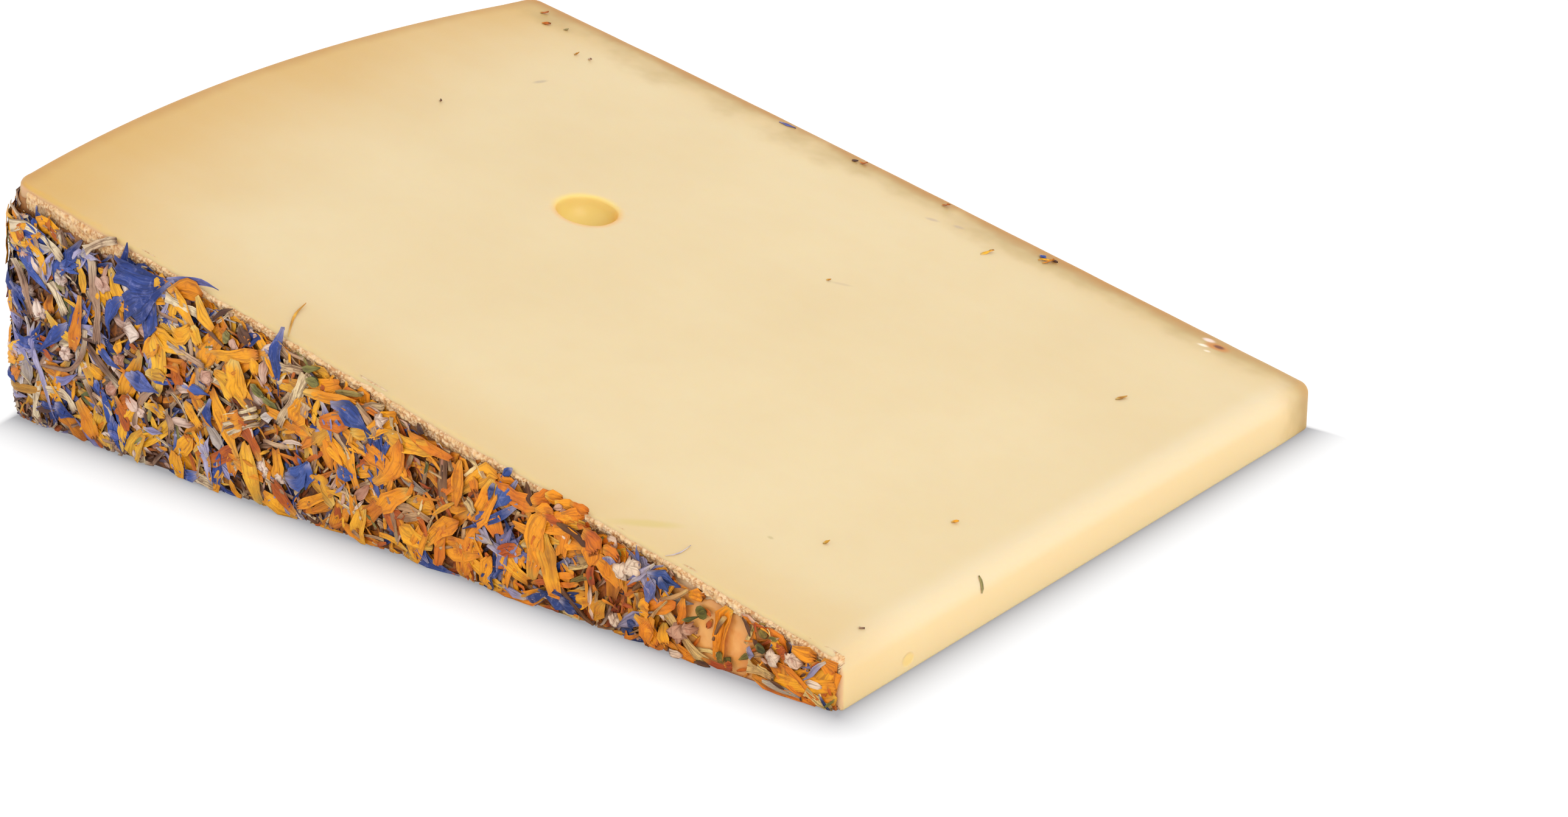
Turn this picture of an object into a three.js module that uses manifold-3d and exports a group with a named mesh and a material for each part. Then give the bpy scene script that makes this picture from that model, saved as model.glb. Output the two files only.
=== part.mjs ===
// A wedge of hard cheese, cut from a large wheel whose rind is crusted with dried petals.
// Millimetres, +Z up. The wheel's axis runs along Y: the wedge lies on one cut face, the two flat
// faces of the wheel look towards -Y and +Y, its outer rind towards -X, and the thin end towards +X.

import * as THREE from "three";
import { mergeVertices } from "three/addons/utils/BufferGeometryUtils.js";
import Module from "manifold-3d";

// The whole wheel. Its outer rind bulges, and its back face is slightly crowned.
const wheelRadius = 151.2;
const wheelHeight = 90;
const rindBulge = 5.3;
const shoulderRadius = 2.5;
const backCrown = 0.9;
const backCrownPower = 1.9;
const wheelSegments = 360;

// Both cuts run through the wheel's axis, and an upright third cut takes the point off.
const cutAngle = THREE.MathUtils.degToRad(11.58);
const tipFromAxis = 28.5;
const tipRound = 1.7;
const tipFootRound = 0.7;

// The wedge is centred on the origin: its thin end is at tipX, its flat faces half a wheel each side.
const tipX = 64.85;
const middleY = -0.3;
const axisX = tipX + tipFromAxis;
const halfHeight = wheelHeight / 2;
const frontY = middleY - halfHeight;

// One round eye in the upper cut face.
const eyeRadius = 4;
const eyeFromAxis = 107.5;
const eyeY = middleY + 5.7;

// The crust is a matted bed with dried petals on it. It stops short of the upper cut and of the thin
// end, where a strip of bare rind shows. Each crusted face carries so many petals.
const bedThickness = 0.6;
const rimWidth = 1.5;
const tipRimWidth = 0.5;
const petalCounts = { front: 58, back: 58, rind: 62 };
const petalSunk = 0.13;
const petalStandsOut = 2;
const overhang = 6;
const edgeMargin = 0.07;

// Finer steps than this, left where petals cross, are smoothed away.
const finestStep = 0.1;

// Whole flower heads and long petals that stand out of the front, placed one by one.
// along is the distance from the thin end, up the height above the cut face that it lies on.
const placedPetals = [
  { kind: "floret", along: 97.2, up: 21.6, turn: 212, length: 11, width: 3.6 },
  { kind: "strap", along: 90.4, up: 25, turn: 10, length: 8, width: 1.6 },
  { kind: "floret", along: 101.5, up: 17.6, turn: 245, length: 11, width: 3.4 },
  { kind: "strap", along: 83.6, up: 15.2, turn: 95, length: 7.5, width: 5 },
  { kind: "strap", along: 84.5, up: 17.6, turn: 12, length: 9, width: 2.4 },
  { kind: "strap", along: 77.5, up: 18.2, turn: 84, length: 9, width: 2.8 },
  { kind: "strap", along: 75.4, up: 23.6, turn: 60, length: 6, width: 1.2 },
  { kind: "strap", along: 74.8, up: 15.2, turn: 60, length: 8.5, width: 2.4 },
  { kind: "floret", along: 69.5, up: 15.4, turn: -20, length: 9, width: 3 },
  { kind: "strap", along: 115, up: 24.6, turn: -18, length: 10.5, width: 3 },
  { kind: "floret", along: 117, up: 9, turn: 120, length: 8, width: 2.6 },
  { kind: "bud", along: 100.5, up: 15.8, turn: 0, length: 4, width: 4 },
  { kind: "floret", along: 47.4, up: 9, turn: 42, length: 9, width: 2.4 },
  { kind: "strap", along: 38, up: 10.8, turn: -50, length: 7, width: 4 },
  { kind: "strap", along: 34.8, up: 11.4, turn: -30, length: 6.5, width: 3.6 },
  { kind: "bud", along: 27, up: 8.2, turn: 0, length: 3.6, width: 3.4 },
  { kind: "strap", along: 22.2, up: 8, turn: -22, length: 5, width: 2.4 },
  { kind: "strap", along: 6, up: 2.3, turn: 10, length: 10, width: 2 },
];

const wasm = await Module();
wasm.setup();

const upAt = (distance) => distance * Math.tan(cutAngle);
const rindRadiusAt = (y) => wheelRadius + rindBulge * (1 - (y / halfHeight) ** 2);
const crownAt = (radius) => backCrown * Math.sin(Math.PI * Math.min(radius / wheelRadius, 1) ** backCrownPower);

// Turns a closed three.js geometry into a solid that can be joined and cut.
function toSolid(geometry) {
  const bare = geometry.index ? geometry.toNonIndexed() : geometry.clone();
  bare.deleteAttribute("normal");
  bare.deleteAttribute("uv");
  const merged = mergeVertices(bare, 1e-5);
  const triangles = [];
  for (let i = 0; i < merged.index.count; i += 3) {
    const [a, b, c] = [0, 1, 2].map((corner) => merged.index.getX(i + corner));
    if (a !== b && b !== c && c !== a) triangles.push(a, b, c);
  }
  const vertProperties = Float32Array.from(merged.attributes.position.array);
  const triVerts = Uint32Array.from(triangles);
  const solid = new wasm.Manifold(new wasm.Mesh({ numProp: 3, vertProperties, triVerts }));
  if (solid.volume() > 0) return solid;
  const turned = triVerts.reverse();
  return new wasm.Manifold(new wasm.Mesh({ numProp: 3, vertProperties, triVerts: turned }));
}

function toGeometry(solid) {
  const mesh = solid.getMesh();
  const geometry = new THREE.BufferGeometry();
  geometry.setAttribute("position", new THREE.BufferAttribute(mesh.vertProperties, 3));
  geometry.setIndex(new THREE.BufferAttribute(mesh.triVerts, 1));
  geometry.computeVertexNormals();
  return geometry;
}

// Half section of the wheel, from its axis round the front shoulder, rind and back shoulder, as it
// is or grown by a proud layer.
function wheelSection(proud) {
  const shoulderY = halfHeight - shoulderRadius;
  const shoulderRho = rindRadiusAt(shoulderY) - shoulderRadius;
  const round = shoulderRadius + proud;
  const shoulderSteps = 4;
  const rindSteps = 22;
  const crownSteps = 8;
  const section = [new THREE.Vector2(0, -halfHeight - proud)];
  for (let i = 0; i < shoulderSteps; i += 1) {
    const angle = (Math.PI / 2) * (i / shoulderSteps);
    const rho = shoulderRho + round * Math.sin(angle);
    section.push(new THREE.Vector2(rho, -shoulderY - round * Math.cos(angle)));
  }
  for (let i = 0; i <= rindSteps; i += 1) {
    const y = shoulderY * ((2 * i) / rindSteps - 1);
    section.push(new THREE.Vector2(rindRadiusAt(y) + proud, y));
  }
  for (let i = 1; i <= shoulderSteps; i += 1) {
    const angle = (Math.PI / 2) * (i / shoulderSteps);
    const rho = shoulderRho + round * Math.cos(angle);
    section.push(new THREE.Vector2(rho, shoulderY + round * Math.sin(angle)));
  }
  for (let i = 1; i <= crownSteps; i += 1) {
    const rho = shoulderRho * (1 - i / crownSteps);
    section.push(new THREE.Vector2(rho, halfHeight + crownAt(rho) + proud));
  }
  return section;
}

function wheel(proud = 0) {
  const geometry = new THREE.LatheGeometry(wheelSection(proud), wheelSegments);
  geometry.translate(axisX, middleY, 0);
  return toSolid(geometry);
}

// The space between the two cuts, seen from the front: short of the upper cut by belowCut and of the
// thin end by behindTip.
function betweenCuts({ belowCut = 0, behindTip = 0, round = tipRound, footRound = tipFootRound } = {}) {
  const farX = -wheelRadius;
  const endX = tipX - behindTip;
  const drop = belowCut / Math.cos(cutAngle);
  const cornerUp = upAt(axisX - endX) - drop;
  const tangent = round / Math.tan((Math.PI / 2 + cutAngle) / 2);
  const outline = new THREE.Shape();
  outline.moveTo(farX, 0);
  outline.lineTo(endX - footRound, 0);
  outline.absarc(endX - footRound, footRound, footRound, -Math.PI / 2, 0, false);
  outline.absarc(endX - round, cornerUp - tangent, round, 0, Math.PI / 2 - cutAngle, false);
  outline.lineTo(farX, upAt(axisX - farX) - drop);
  outline.closePath();
  const depth = wheelHeight * 1.2;
  const geometry = new THREE.ExtrudeGeometry(outline, { depth, bevelEnabled: false, curveSegments: 6 });
  geometry.rotateX(Math.PI / 2);
  geometry.translate(0, middleY + depth / 2, 0);
  return toSolid(geometry);
}

function eye() {
  const geometry = new THREE.SphereGeometry(eyeRadius, 16, 12);
  const [x, z] = [axisX - eyeFromAxis * Math.cos(cutAngle), eyeFromAxis * Math.sin(cutAngle)];
  geometry.translate(x, eyeY, z);
  return toSolid(geometry);
}

// A repeatable scatter: the k-th fraction between 0 and 1 that belongs to petal n.
function draw(n, k) {
  const value = Math.sin(12.9898 * n + 78.233 * k) * 43758.5453;
  return value - Math.floor(value);
}

// Evenly spread places in a unit square.
function spread(n) {
  return [(0.5 + n * 0.7548776662) % 1, (0.5 + n * 0.5698402910) % 1];
}

// Where a petal sits on each crusted face, with the directions along, up and out of that face.
const zUp = new THREE.Vector3(0, 0, 1);

function wheelPoint(rho, angle, y) {
  return new THREE.Vector3(axisX - rho * Math.cos(angle), y, rho * Math.sin(angle));
}

function flatFacePlace(n) {
  const [u, v] = spread(n);
  const inner = tipFromAxis + 2;
  const outer = wheelRadius - 1;
  const rho = Math.sqrt(inner ** 2 + u * (outer ** 2 - inner ** 2));
  return { rho, angle: cutAngle * THREE.MathUtils.lerp(edgeMargin, 1 - edgeMargin, v) };
}

const places = {
  front(n) {
    const { rho, angle } = flatFacePlace(n);
    const point = wheelPoint(rho, angle, frontY - bedThickness);
    return { point, along: new THREE.Vector3(1, 0, 0), up: zUp, out: new THREE.Vector3(0, -1, 0) };
  },
  back(n) {
    const { rho, angle } = flatFacePlace(n + 0.37);
    const point = wheelPoint(rho, angle, middleY + halfHeight + crownAt(rho) + bedThickness);
    return { point, along: new THREE.Vector3(-1, 0, 0), up: zUp, out: new THREE.Vector3(0, 1, 0) };
  },
  rind(n) {
    const [u, v] = spread(n);
    const y = (halfHeight - 1) * (2 * u - 1);
    const angle = cutAngle * THREE.MathUtils.lerp(edgeMargin, 1 - edgeMargin, v);
    const slope = (2 * rindBulge * y) / halfHeight ** 2;
    const out = new THREE.Vector3(-Math.cos(angle), slope, Math.sin(angle)).normalize();
    const up = new THREE.Vector3(Math.sin(angle), 0, Math.cos(angle));
    const along = new THREE.Vector3().crossVectors(up, out);
    return { point: wheelPoint(rindRadiusAt(y) + bedThickness, angle, middleY + y), along, up, out };
  },
};

// A dried petal lies along Y with Z out of the crust: thin at its sides and ends, and lifted at its tip.
function strapGeometry({ length, width, thick, lift, bend }) {
  const geometry = new THREE.SphereGeometry(1, 4, 3);
  const position = geometry.attributes.position;
  for (let i = 0; i < position.count; i += 1) {
    const [side, t, face] = [position.getX(i), position.getY(i), position.getZ(i)];
    const x = (side * width * (1 + 0.3 * t)) / 2 + bend * t * t;
    const z = (face * thick) / 2 + (lift * (1 + t) ** 2) / 4;
    position.setXYZ(i, x, (t * length) / 2, z);
  }
  return geometry;
}

function budGeometry({ length, width, thick }) {
  return new THREE.SphereGeometry(0.5, 5, 4).scale(width, length, thick);
}

function stickGeometry({ length, width, thick }) {
  return new THREE.SphereGeometry(0.5, 4, 3).scale(width, length, thick);
}

// A floret's lobes fan out of one narrow throat.
function floretGeometries({ length, width, thick, lift, bend }) {
  return [-0.42, 0, 0.42].map((fan, i) => {
    const reach = length * (1 - 0.16 * Math.abs(i - 1));
    const lobe = strapGeometry({ length: reach, width, thick, lift, bend: bend * (i - 1) });
    return lobe.translate(0, reach / 2, 0).rotateZ(fan).translate(0, -length / 2, 0);
  });
}

const petalMakers = {
  floret: (size) => floretGeometries(size),
  strap: (size) => [strapGeometry(size)],
  bud: (size) => [budGeometry(size)],
  stick: (size) => [stickGeometry(size)],
};

function layOnFace(geometry, { point, along, up, out }, turn) {
  const direction = along.clone().multiplyScalar(Math.cos(turn)).addScaledVector(up, Math.sin(turn));
  const side = new THREE.Vector3().crossVectors(direction, out);
  const placing = new THREE.Matrix4().makeBasis(side, direction, out);
  placing.setPosition(point.clone().addScaledVector(out, -petalSunk));
  return geometry.applyMatrix4(placing);
}

// What grows at place n of a face: mostly petals, some florets, buds and bits of stalk.
function scatteredPetal(n) {
  const pick = draw(n, 1);
  const [a, b, c] = [draw(n, 2), draw(n, 3), draw(n, 4)];
  if (pick < 0.14) {
    return { kind: "floret", length: 6.5 + 3 * a, width: 2.1 + 0.9 * b, thick: 1.2, lift: 0.6 + 0.8 * c, bend: 0.4 };
  }
  if (pick < 0.34) {
    return { kind: "bud", length: 2.6 + 1.4 * a, width: 2.4 + 1.1 * b, thick: 2.6 + 1.2 * c, lift: 0, bend: 0 };
  }
  if (pick < 0.5) {
    return { kind: "stick", length: 4.5 + 4 * a, width: 1.2 + 0.8 * b, thick: 1.4 + 0.6 * c, lift: 0, bend: 0 };
  }
  return { kind: "strap", length: 5.5 + 4 * a, width: 2.2 + 1.4 * b, thick: 1.4, lift: 0.4 + 0.9 * c, bend: b - 0.5 };
}

function crustOn(face) {
  const solids = [];
  for (let n = 0; n < petalCounts[face]; n += 1) {
    const petal = scatteredPetal(n + 1000 * Object.keys(petalCounts).indexOf(face));
    const turn = 2 * Math.PI * draw(n, 5);
    for (const geometry of petalMakers[petal.kind](petal)) {
      solids.push(toSolid(layOnFace(geometry, places[face](n), turn)));
    }
  }
  return solids;
}

function placedCrust() {
  const solids = [];
  for (const { kind, along, up, turn, length, width } of placedPetals) {
    const place = { ...places.front(0), point: new THREE.Vector3(tipX - along, frontY - bedThickness, up) };
    const thick = kind === "bud" ? 2 * petalStandsOut : 1.2;
    const size = { length, width, thick, lift: petalStandsOut - thick / 2, bend: 0.3 };
    for (const geometry of petalMakers[kind](size)) {
      solids.push(toSolid(layOnFace(geometry, place, THREE.MathUtils.degToRad(turn))));
    }
  }
  return solids;
}

const join = (solids) => solids.reduce((whole, solid) => whole.add(solid));

function cheese() {
  const paste = wheel().intersect(betweenCuts()).subtract(eye());
  const bed = wheel(bedThickness);
  const scattered = join(["front", "back", "rind"].flatMap(crustOn));
  const insideRim = betweenCuts({ belowCut: rimWidth, behindTip: tipRimWidth, round: 1 });
  const overRim = betweenCuts({ belowCut: -overhang, behindTip: tipRimWidth });
  const crust = bed.add(scattered).intersect(insideRim).add(join(placedCrust()).intersect(overRim));
  const bodies = paste.add(crust).asOriginal().simplify(finestStep).decompose();
  return bodies.reduce((largest, body) => (body.volume() > largest.volume() ? body : largest));
}

const crustedCheese = new THREE.MeshStandardMaterial({ color: 0xf3dbaf, roughness: 0.45, metalness: 0 });
const mesh = new THREE.Mesh(toGeometry(cheese()), crustedCheese);
mesh.name = "cheese";

const group = new THREE.Group();
group.add(mesh);

export default group;
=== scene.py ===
import math

import bpy
import numpy as np
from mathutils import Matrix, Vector


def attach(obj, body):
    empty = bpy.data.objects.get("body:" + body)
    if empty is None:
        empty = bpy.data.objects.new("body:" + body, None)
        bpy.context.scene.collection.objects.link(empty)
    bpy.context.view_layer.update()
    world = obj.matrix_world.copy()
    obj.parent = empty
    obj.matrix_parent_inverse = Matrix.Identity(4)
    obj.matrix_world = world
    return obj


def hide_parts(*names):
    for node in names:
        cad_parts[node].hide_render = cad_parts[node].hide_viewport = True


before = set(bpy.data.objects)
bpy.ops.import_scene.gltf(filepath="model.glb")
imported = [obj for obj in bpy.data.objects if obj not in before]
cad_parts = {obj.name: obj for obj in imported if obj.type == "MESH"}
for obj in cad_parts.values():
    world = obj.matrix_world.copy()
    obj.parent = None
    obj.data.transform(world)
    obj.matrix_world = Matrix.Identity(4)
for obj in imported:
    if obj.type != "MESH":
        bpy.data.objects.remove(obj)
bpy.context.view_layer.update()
print("frame loaded")

mm = 0.001

# The wheel that the wedge is cut from, in millimetres. Its axis runs along Y, and both cuts go through it.
wheel = {
    "radius": 151.2,
    "height": 90.0,
    "bulge": 5.3,  # extra radius of the rind half way up
    "shoulder": 2.5,
    "crown": 0.9,  # swell of the back face
    "crownPower": 1.9,
    "tipSwell": 0.35,  # how much farther back the back face lies towards the thin end
    "cutAngle": math.radians(11.58),
    "tipFromAxis": 28.5,  # where the point is cut off
    "tipX": 64.85,
    "middleY": -0.3,
}
axisX = wheel["tipX"] + wheel["tipFromAxis"]
halfHeight = wheel["height"] / 2
cutAngle = wheel["cutAngle"]
lean = np.array([math.sin(cutAngle), math.cos(cutAngle)])  # normal of the upper cut in x and z
quarter = np.pi / 2
tipFromAxis = wheel["tipFromAxis"]


def smooth(value):  # 0 to 1 with soft ends
    value = np.clip(value, 0, 1)
    return value * value * (3 - 2 * value)


def rindRadius(y):
    return wheel["radius"] + wheel["bulge"] * (1 - (y / halfHeight) ** 2)


def crownAt(rho):
    share = np.clip(rho / wheel["radius"], 0, 1) ** wheel["crownPower"]
    return wheel["crown"] * np.sin(np.pi * share) + wheel["tipSwell"] * smooth((120 - rho) / 90)


# Shader expressions

def tone(code):  # a colour written as on a colour chart
    parts = [int(code[i:i + 2], 16) / 255 for i in (1, 3, 5)]
    return tuple(c / 12.92 if c <= 0.04045 else ((c + 0.055) / 1.055) ** 2.4 for c in parts) + (1.0,)


class Wire:  # a socket that adds up and mixes like a number
    def __init__(self, finish, socket):
        self.finish = finish
        self.socket = socket

    def math(self, operation, *values):
        return self.finish.add("Math", {"operation": operation}, dict(enumerate(values)))

    def size(self):
        return self.math("ABSOLUTE", self)

    def wave(self):
        return self.math("SINE", self)

    def largest(self, other):
        return self.math("MAXIMUM", self, other)

    def fade(self, start, end):  # 0 at start to 1 at end, with soft ends
        kind = {"interpolation_type": "SMOOTHSTEP"}
        low, high = (start, end) if start < end else (end, start)
        span = (0, 1) if start < end else (1, 0)
        values = {"Value": self, "From Min": low, "From Max": high, "To Min": span[0], "To Max": span[1]}
        return self.finish.add("MapRange", kind, values)

    def stretch(self, by):  # scales a vector
        return self.finish.add("VectorMath", {"operation": "MULTIPLY"}, {0: self, 1: by})


for word, operation in (
    ("add", "ADD"), ("sub", "SUBTRACT"), ("mul", "MULTIPLY"), ("truediv", "DIVIDE"), ("pow", "POWER"),
):
    def forward(self, other, kind=operation):
        return self.math(kind, self, other)

    def reflected(self, other, kind=operation):
        return self.math(kind, other, self)

    setattr(Wire, f"__{word}__", forward)
    setattr(Wire, f"__r{word}__", reflected)


class Finish:  # one material and its nodes
    def __init__(self, name):
        self.material = bpy.data.materials.new(name)
        self.material.use_nodes = True
        self.tree = self.material.node_tree
        self.tree.nodes.clear()

    def add(self, kind, settings=None, values=None, output=0):
        node = self.tree.nodes.new("ShaderNode" + kind)
        for key, value in (settings or {}).items():
            if key == "stops":
                ramp = node.color_ramp
                while len(ramp.elements) < len(value):
                    ramp.elements.new(0.5)
                for element, (place, colour) in zip(ramp.elements, value):
                    element.position = place
                    element.color = colour
            else:
                setattr(node, key, value)
        for key, value in (values or {}).items():
            if isinstance(value, Wire):
                self.tree.links.new(value.socket, node.inputs[key])
            else:
                node.inputs[key].default_value = value
        return Wire(self, node.outputs[output]) if node.outputs else None

    def place(self):  # the point on the piece, in millimetres
        here = self.add("TexCoord", output=3)
        return here.stretch((1 / mm,) * 3)

    def split(self, vector):
        first = self.add("SeparateXYZ", values={0: vector})
        return [Wire(self, output) for output in first.socket.node.outputs]

    def mark(self, name):  # a number kept on the mesh
        return self.add("Attribute", {"attribute_name": name}, output=2)

    def noise(self, place, scale, detail=3.0, rough=0.55, warp=0.0):
        values = {"Vector": place, "Scale": scale, "Detail": detail, "Roughness": rough, "Distortion": warp}
        return self.add("TexNoise", values=values)

    def blend(self, share, first, second, kind="MIX"):
        settings = {"data_type": "RGBA", "blend_type": kind}
        return self.add("Mix", settings, {0: share, 6: first, 7: second}, output=2)

    def paint(self, share, colour):  # lays a colour over what is there
        self.colour = self.blend(share, self.colour, tone(colour) if isinstance(colour, str) else colour)

    def surface(self, **sockets):
        shader = self.add("BsdfPrincipled", values={key.replace("_", " "): v for key, v in sockets.items()})
        self.add("OutputMaterial", values={"Surface": shader})
        return self.material

    def bump(self, height, strength, distance):
        values = {"Height": height, "Strength": strength, "Distance": distance * mm}
        return self.add("Bump", values=values)


# Meshes from arrays

def makePiece(name, points, quads, material, marks=None, crease=None):
    mesh = bpy.data.meshes.new(name)
    mesh.from_pydata((np.asarray(points) * mm).tolist(), [], np.asarray(quads).tolist())
    for key, values in (marks or {}).items():
        mesh.attributes.new(key, "FLOAT", "POINT").data.foreach_set("value", np.asarray(values, np.float32))
    mesh.materials.append(material)
    mesh.shade_smooth()
    if crease:
        mesh.set_sharp_from_angle(angle=math.radians(crease))
    piece = bpy.data.objects.new(name, mesh)
    bpy.context.scene.collection.objects.link(piece)
    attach(piece, "root")
    return piece


def gridQuads(rows, columns, closed=False):
    last = columns if closed else columns - 1
    i, j = np.meshgrid(np.arange(rows - 1), np.arange(last), indexing="ij")
    k = (j + 1) % columns
    corners = [i * columns + j, i * columns + k, (i + 1) * columns + k, (i + 1) * columns + j]
    return np.stack([corner.ravel() for corner in corners], -1)


def tubeQuads(rows, ring):  # rings of points joined along, and each end closed
    k = np.arange((ring - 2) // 2)
    cap = np.stack([(ring - k) % ring, k + 1, k + 2, ring - k - 1], -1)
    return np.concatenate([gridQuads(rows, ring, closed=True), cap[:, ::-1], cap + (rows - 1) * ring])


def volumeOf(points, quads):
    a, b, c, d = (points[quads[:, i]] for i in range(4))
    return (np.einsum("ij,ij->i", a, np.cross(b, c)) + np.einsum("ij,ij->i", a, np.cross(c, d))).sum() / 6


def facingOut(points, quads):
    return quads if volumeOf(points, quads) > 0 else quads[:, ::-1]


def ripples(x, y, seed, waves=5, longest=30.0, shortest=6.0):  # slow uneven waves, about -1 to 1
    draw = np.random.default_rng(seed)
    total = np.zeros(np.broadcast(x, y).shape)
    for length in np.geomspace(longest, shortest, waves):
        turn, phase = draw.uniform(0, 2 * np.pi, 2)
        total = total + np.sin((x * np.cos(turn) + y * np.sin(turn)) * 2 * np.pi / length + phase)
    return total / waves ** 0.5 / 1.4


# The paste: the whole wedge as one closed skin with worn edges and one eye

paste = {
    "cutEdge": 0.55,  # radius of the edge between the cuts and the front
    "backEdge": 0.5,
    "rindEdge": 0.8,
    "tipRound": 2.3,
    "crisper": 0.4,  # how much smaller that radius is at the back
    "tipFoot": 0.35,
    "tipStraight": 3.96,  # height at which the rounding starts
    "unevenness": 0.05,
    "eyeRadius": 4.0,
    "eyeDepth": 3.6,
    "eyeLip": 0.3,
    "eyeFromAxis": 107.5,
    "eyeY": 5.4,
    "rows": 205,
    "stations": 145,
}


def edgeSteps(total, count, first=0.12, growth=1.45, widest=None):
    # distances from 0 to total, close together at both ends
    steps = [0.0]
    step = first
    widest = widest or total / count
    while steps[-1] + step < total / 2 and step < widest:
        steps.append(steps[-1] + step)
        step *= growth
    head = np.array(steps)
    middle = np.linspace(head[-1], total - head[-1], max(count - 2 * len(head), 2) + 2)[1:-1]
    return np.concatenate([head, middle, (total - head)[::-1]])


def shoulderRadius(d):  # of the wheel, with its rounded shoulders, at a distance from its front
    shoulder = wheel["shoulder"]
    y = np.clip(d - halfHeight, shoulder - halfHeight, halfHeight - shoulder)
    gap = np.clip(shoulder - min(d, wheel["height"] - d), 0, None)
    return rindRadius(y) - shoulder + math.sqrt(shoulder ** 2 - gap ** 2)


def wedgePoint(fromRind, fromCut, outer, upper):
    # a point near the rind: how far it is in from the rind and from the lower or upper cut
    rho = outer - fromRind
    tilt = np.arcsin(fromCut / rho)
    angle = cutAngle - tilt if upper else tilt
    return axisX - rho * np.cos(angle), rho * np.sin(angle)


def pasteSlice(outer, nearBack):
    # the outline at one distance from the front: its lower cut, thin end, upper cut and rind side
    tipX = wheel["tipX"]
    upAtTip = tipFromAxis * math.tan(cutAngle)
    arc = np.linspace(0, quarter, 9)
    top = paste["tipRound"] * (1 - paste["crisper"] * nearBack)
    foot = paste["tipFoot"] + nearBack * (1.1 * paste["backEdge"] - paste["tipFoot"])
    rind = paste["rindEdge"] + nearBack * (1.1 * paste["backEdge"] - paste["rindEdge"])

    def corner(turn, atTop):  # of the rind with a cut
        inward, along = rind * (1 - np.cos(turn)), rind * (1 - np.sin(turn))
        return np.stack(wedgePoint(inward, along, outer, atTop), -1)

    # lower cut, from half way round the rind's corner to half way round the tip's foot
    lowerHead = corner(arc[4:], False)
    startX = lowerHead[-1, 0]
    endX = tipX - foot
    along = startX + edgeSteps(endX - startX, paste["rows"] - 8, 0.4)[1:-1]
    lowerTail = np.stack([endX + foot * np.sin(arc[:5]), foot - foot * np.cos(arc[:5])], -1)
    lower = np.concatenate([lowerHead, np.stack([along, 0 * along], -1), lowerTail])
    # thin end, from its foot up to the rounded upper edge
    tangent = top / math.tan((quarter + cutAngle) / 2)
    centre = np.array([tipX - top, upAtTip - tangent])
    rise = np.linspace(0, quarter - cutAngle, 9)
    footUp = np.stack([endX + foot * np.sin(arc[4:]), foot - foot * np.cos(arc[4:])], -1)
    straight = np.linspace(foot, centre[1], 14)[1:-1]
    roundUp = centre + top * np.stack([np.cos(rise[:5]), np.sin(rise[:5])], -1)
    end = np.concatenate([footUp, np.stack([0 * straight + tipX, straight], -1), roundUp])
    # upper cut
    roundIn = centre + top * np.stack([np.cos(rise[4:]), np.sin(rise[4:])], -1)
    upperHead = corner(arc[4:], True)
    span = np.linalg.norm(roundIn[-1] - upperHead[-1])
    share = edgeSteps(span, paste["rows"] - 8, 0.4)[1:-1] / span
    run = upperHead[-1] + share[:, None] * (roundIn[-1] - upperHead[-1])
    upper = np.concatenate([upperHead, run, roundIn[::-1]])
    # rind side, from the lower to the upper corner
    low, high = corner(arc[:5], False)[::-1], corner(arc[:5], True)
    bend = np.linspace(rind / outer, cutAngle - rind / outer, 14)[1:-1]
    side = np.stack([axisX - outer * np.cos(bend), outer * np.sin(bend)], -1)
    return lower, end, upper, np.concatenate([low, side, high])


def facePatch(lower, upper, side, end):  # fills the front or the back from its four sides
    runs = np.linalg.norm(np.diff(lower, axis=0), axis=1)
    climbs = np.linalg.norm(np.diff(side, axis=0), axis=1)
    along, up = (np.append(0, np.cumsum(steps) / steps.sum()) for steps in (runs, climbs))
    u, v = along[:, None, None], up[None, :, None]
    patch = (1 - v) * lower[:, None] + v * upper[:, None] + (1 - u) * side[None] + u * end[None]
    patch -= (1 - u) * ((1 - v) * lower[0] + v * upper[0]) + u * ((1 - v) * lower[-1] + v * upper[-1])
    patch[..., 2] = np.maximum(patch[..., 2], lower[:, None, 2])
    return patch


def shapeCut(points):  # the slight unevenness of the upper cut, and the eye in it
    rho = np.hypot(axisX - points[:, 0], points[:, 2])
    below = (axisX - points[:, 0]) * lean[0] - points[:, 2] * lean[1]
    onCut = np.abs(below) < 0.02
    y = points[:, 1]
    lift = paste["unevenness"] * ripples(rho, 1.4 * y, 3)
    points[onCut] += (lift[:, None] * np.array([lean[0], 0, lean[1]]))[onCut]
    dx, dy = rho - paste["eyeFromAxis"], y - paste["eyeY"]
    share = np.hypot(dx, dy) / (2 * paste["eyeRadius"])
    near = onCut & (share < 1) & (share > 0)
    share = share[near]
    lip, bowl = paste["eyeLip"], paste["eyeRadius"] - paste["eyeLip"]
    radius = np.where(share < 0.6, bowl * np.sin(share / 0.6 * quarter), 0)
    depthIn = np.where(share < 0.6, lip + (paste["eyeDepth"] - lip) * np.cos(share / 0.6 * quarter), 0)
    turn = np.clip((share - 0.6) / 0.18, 0, 1) * quarter
    onLip = (share >= 0.6) & (share < 0.78)
    radius = np.where(onLip, paste["eyeRadius"] - lip * np.cos(turn), radius)
    depthIn = np.where(onLip, lip * (1 - np.sin(turn)), depthIn)
    radius = np.where(share >= 0.78, paste["eyeRadius"] * (1 + (share - 0.78) / 0.22), radius)
    scale = radius / (share * 2 * paste["eyeRadius"]) - 1
    away = np.array([-math.cos(cutAngle), 0, math.sin(cutAngle)])
    points[near] += (dx[near] * scale)[:, None] * away
    points[near, 1] += dy[near] * scale
    points[near] -= depthIn[:, None] * np.array([lean[0], 0, lean[1]])


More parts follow.
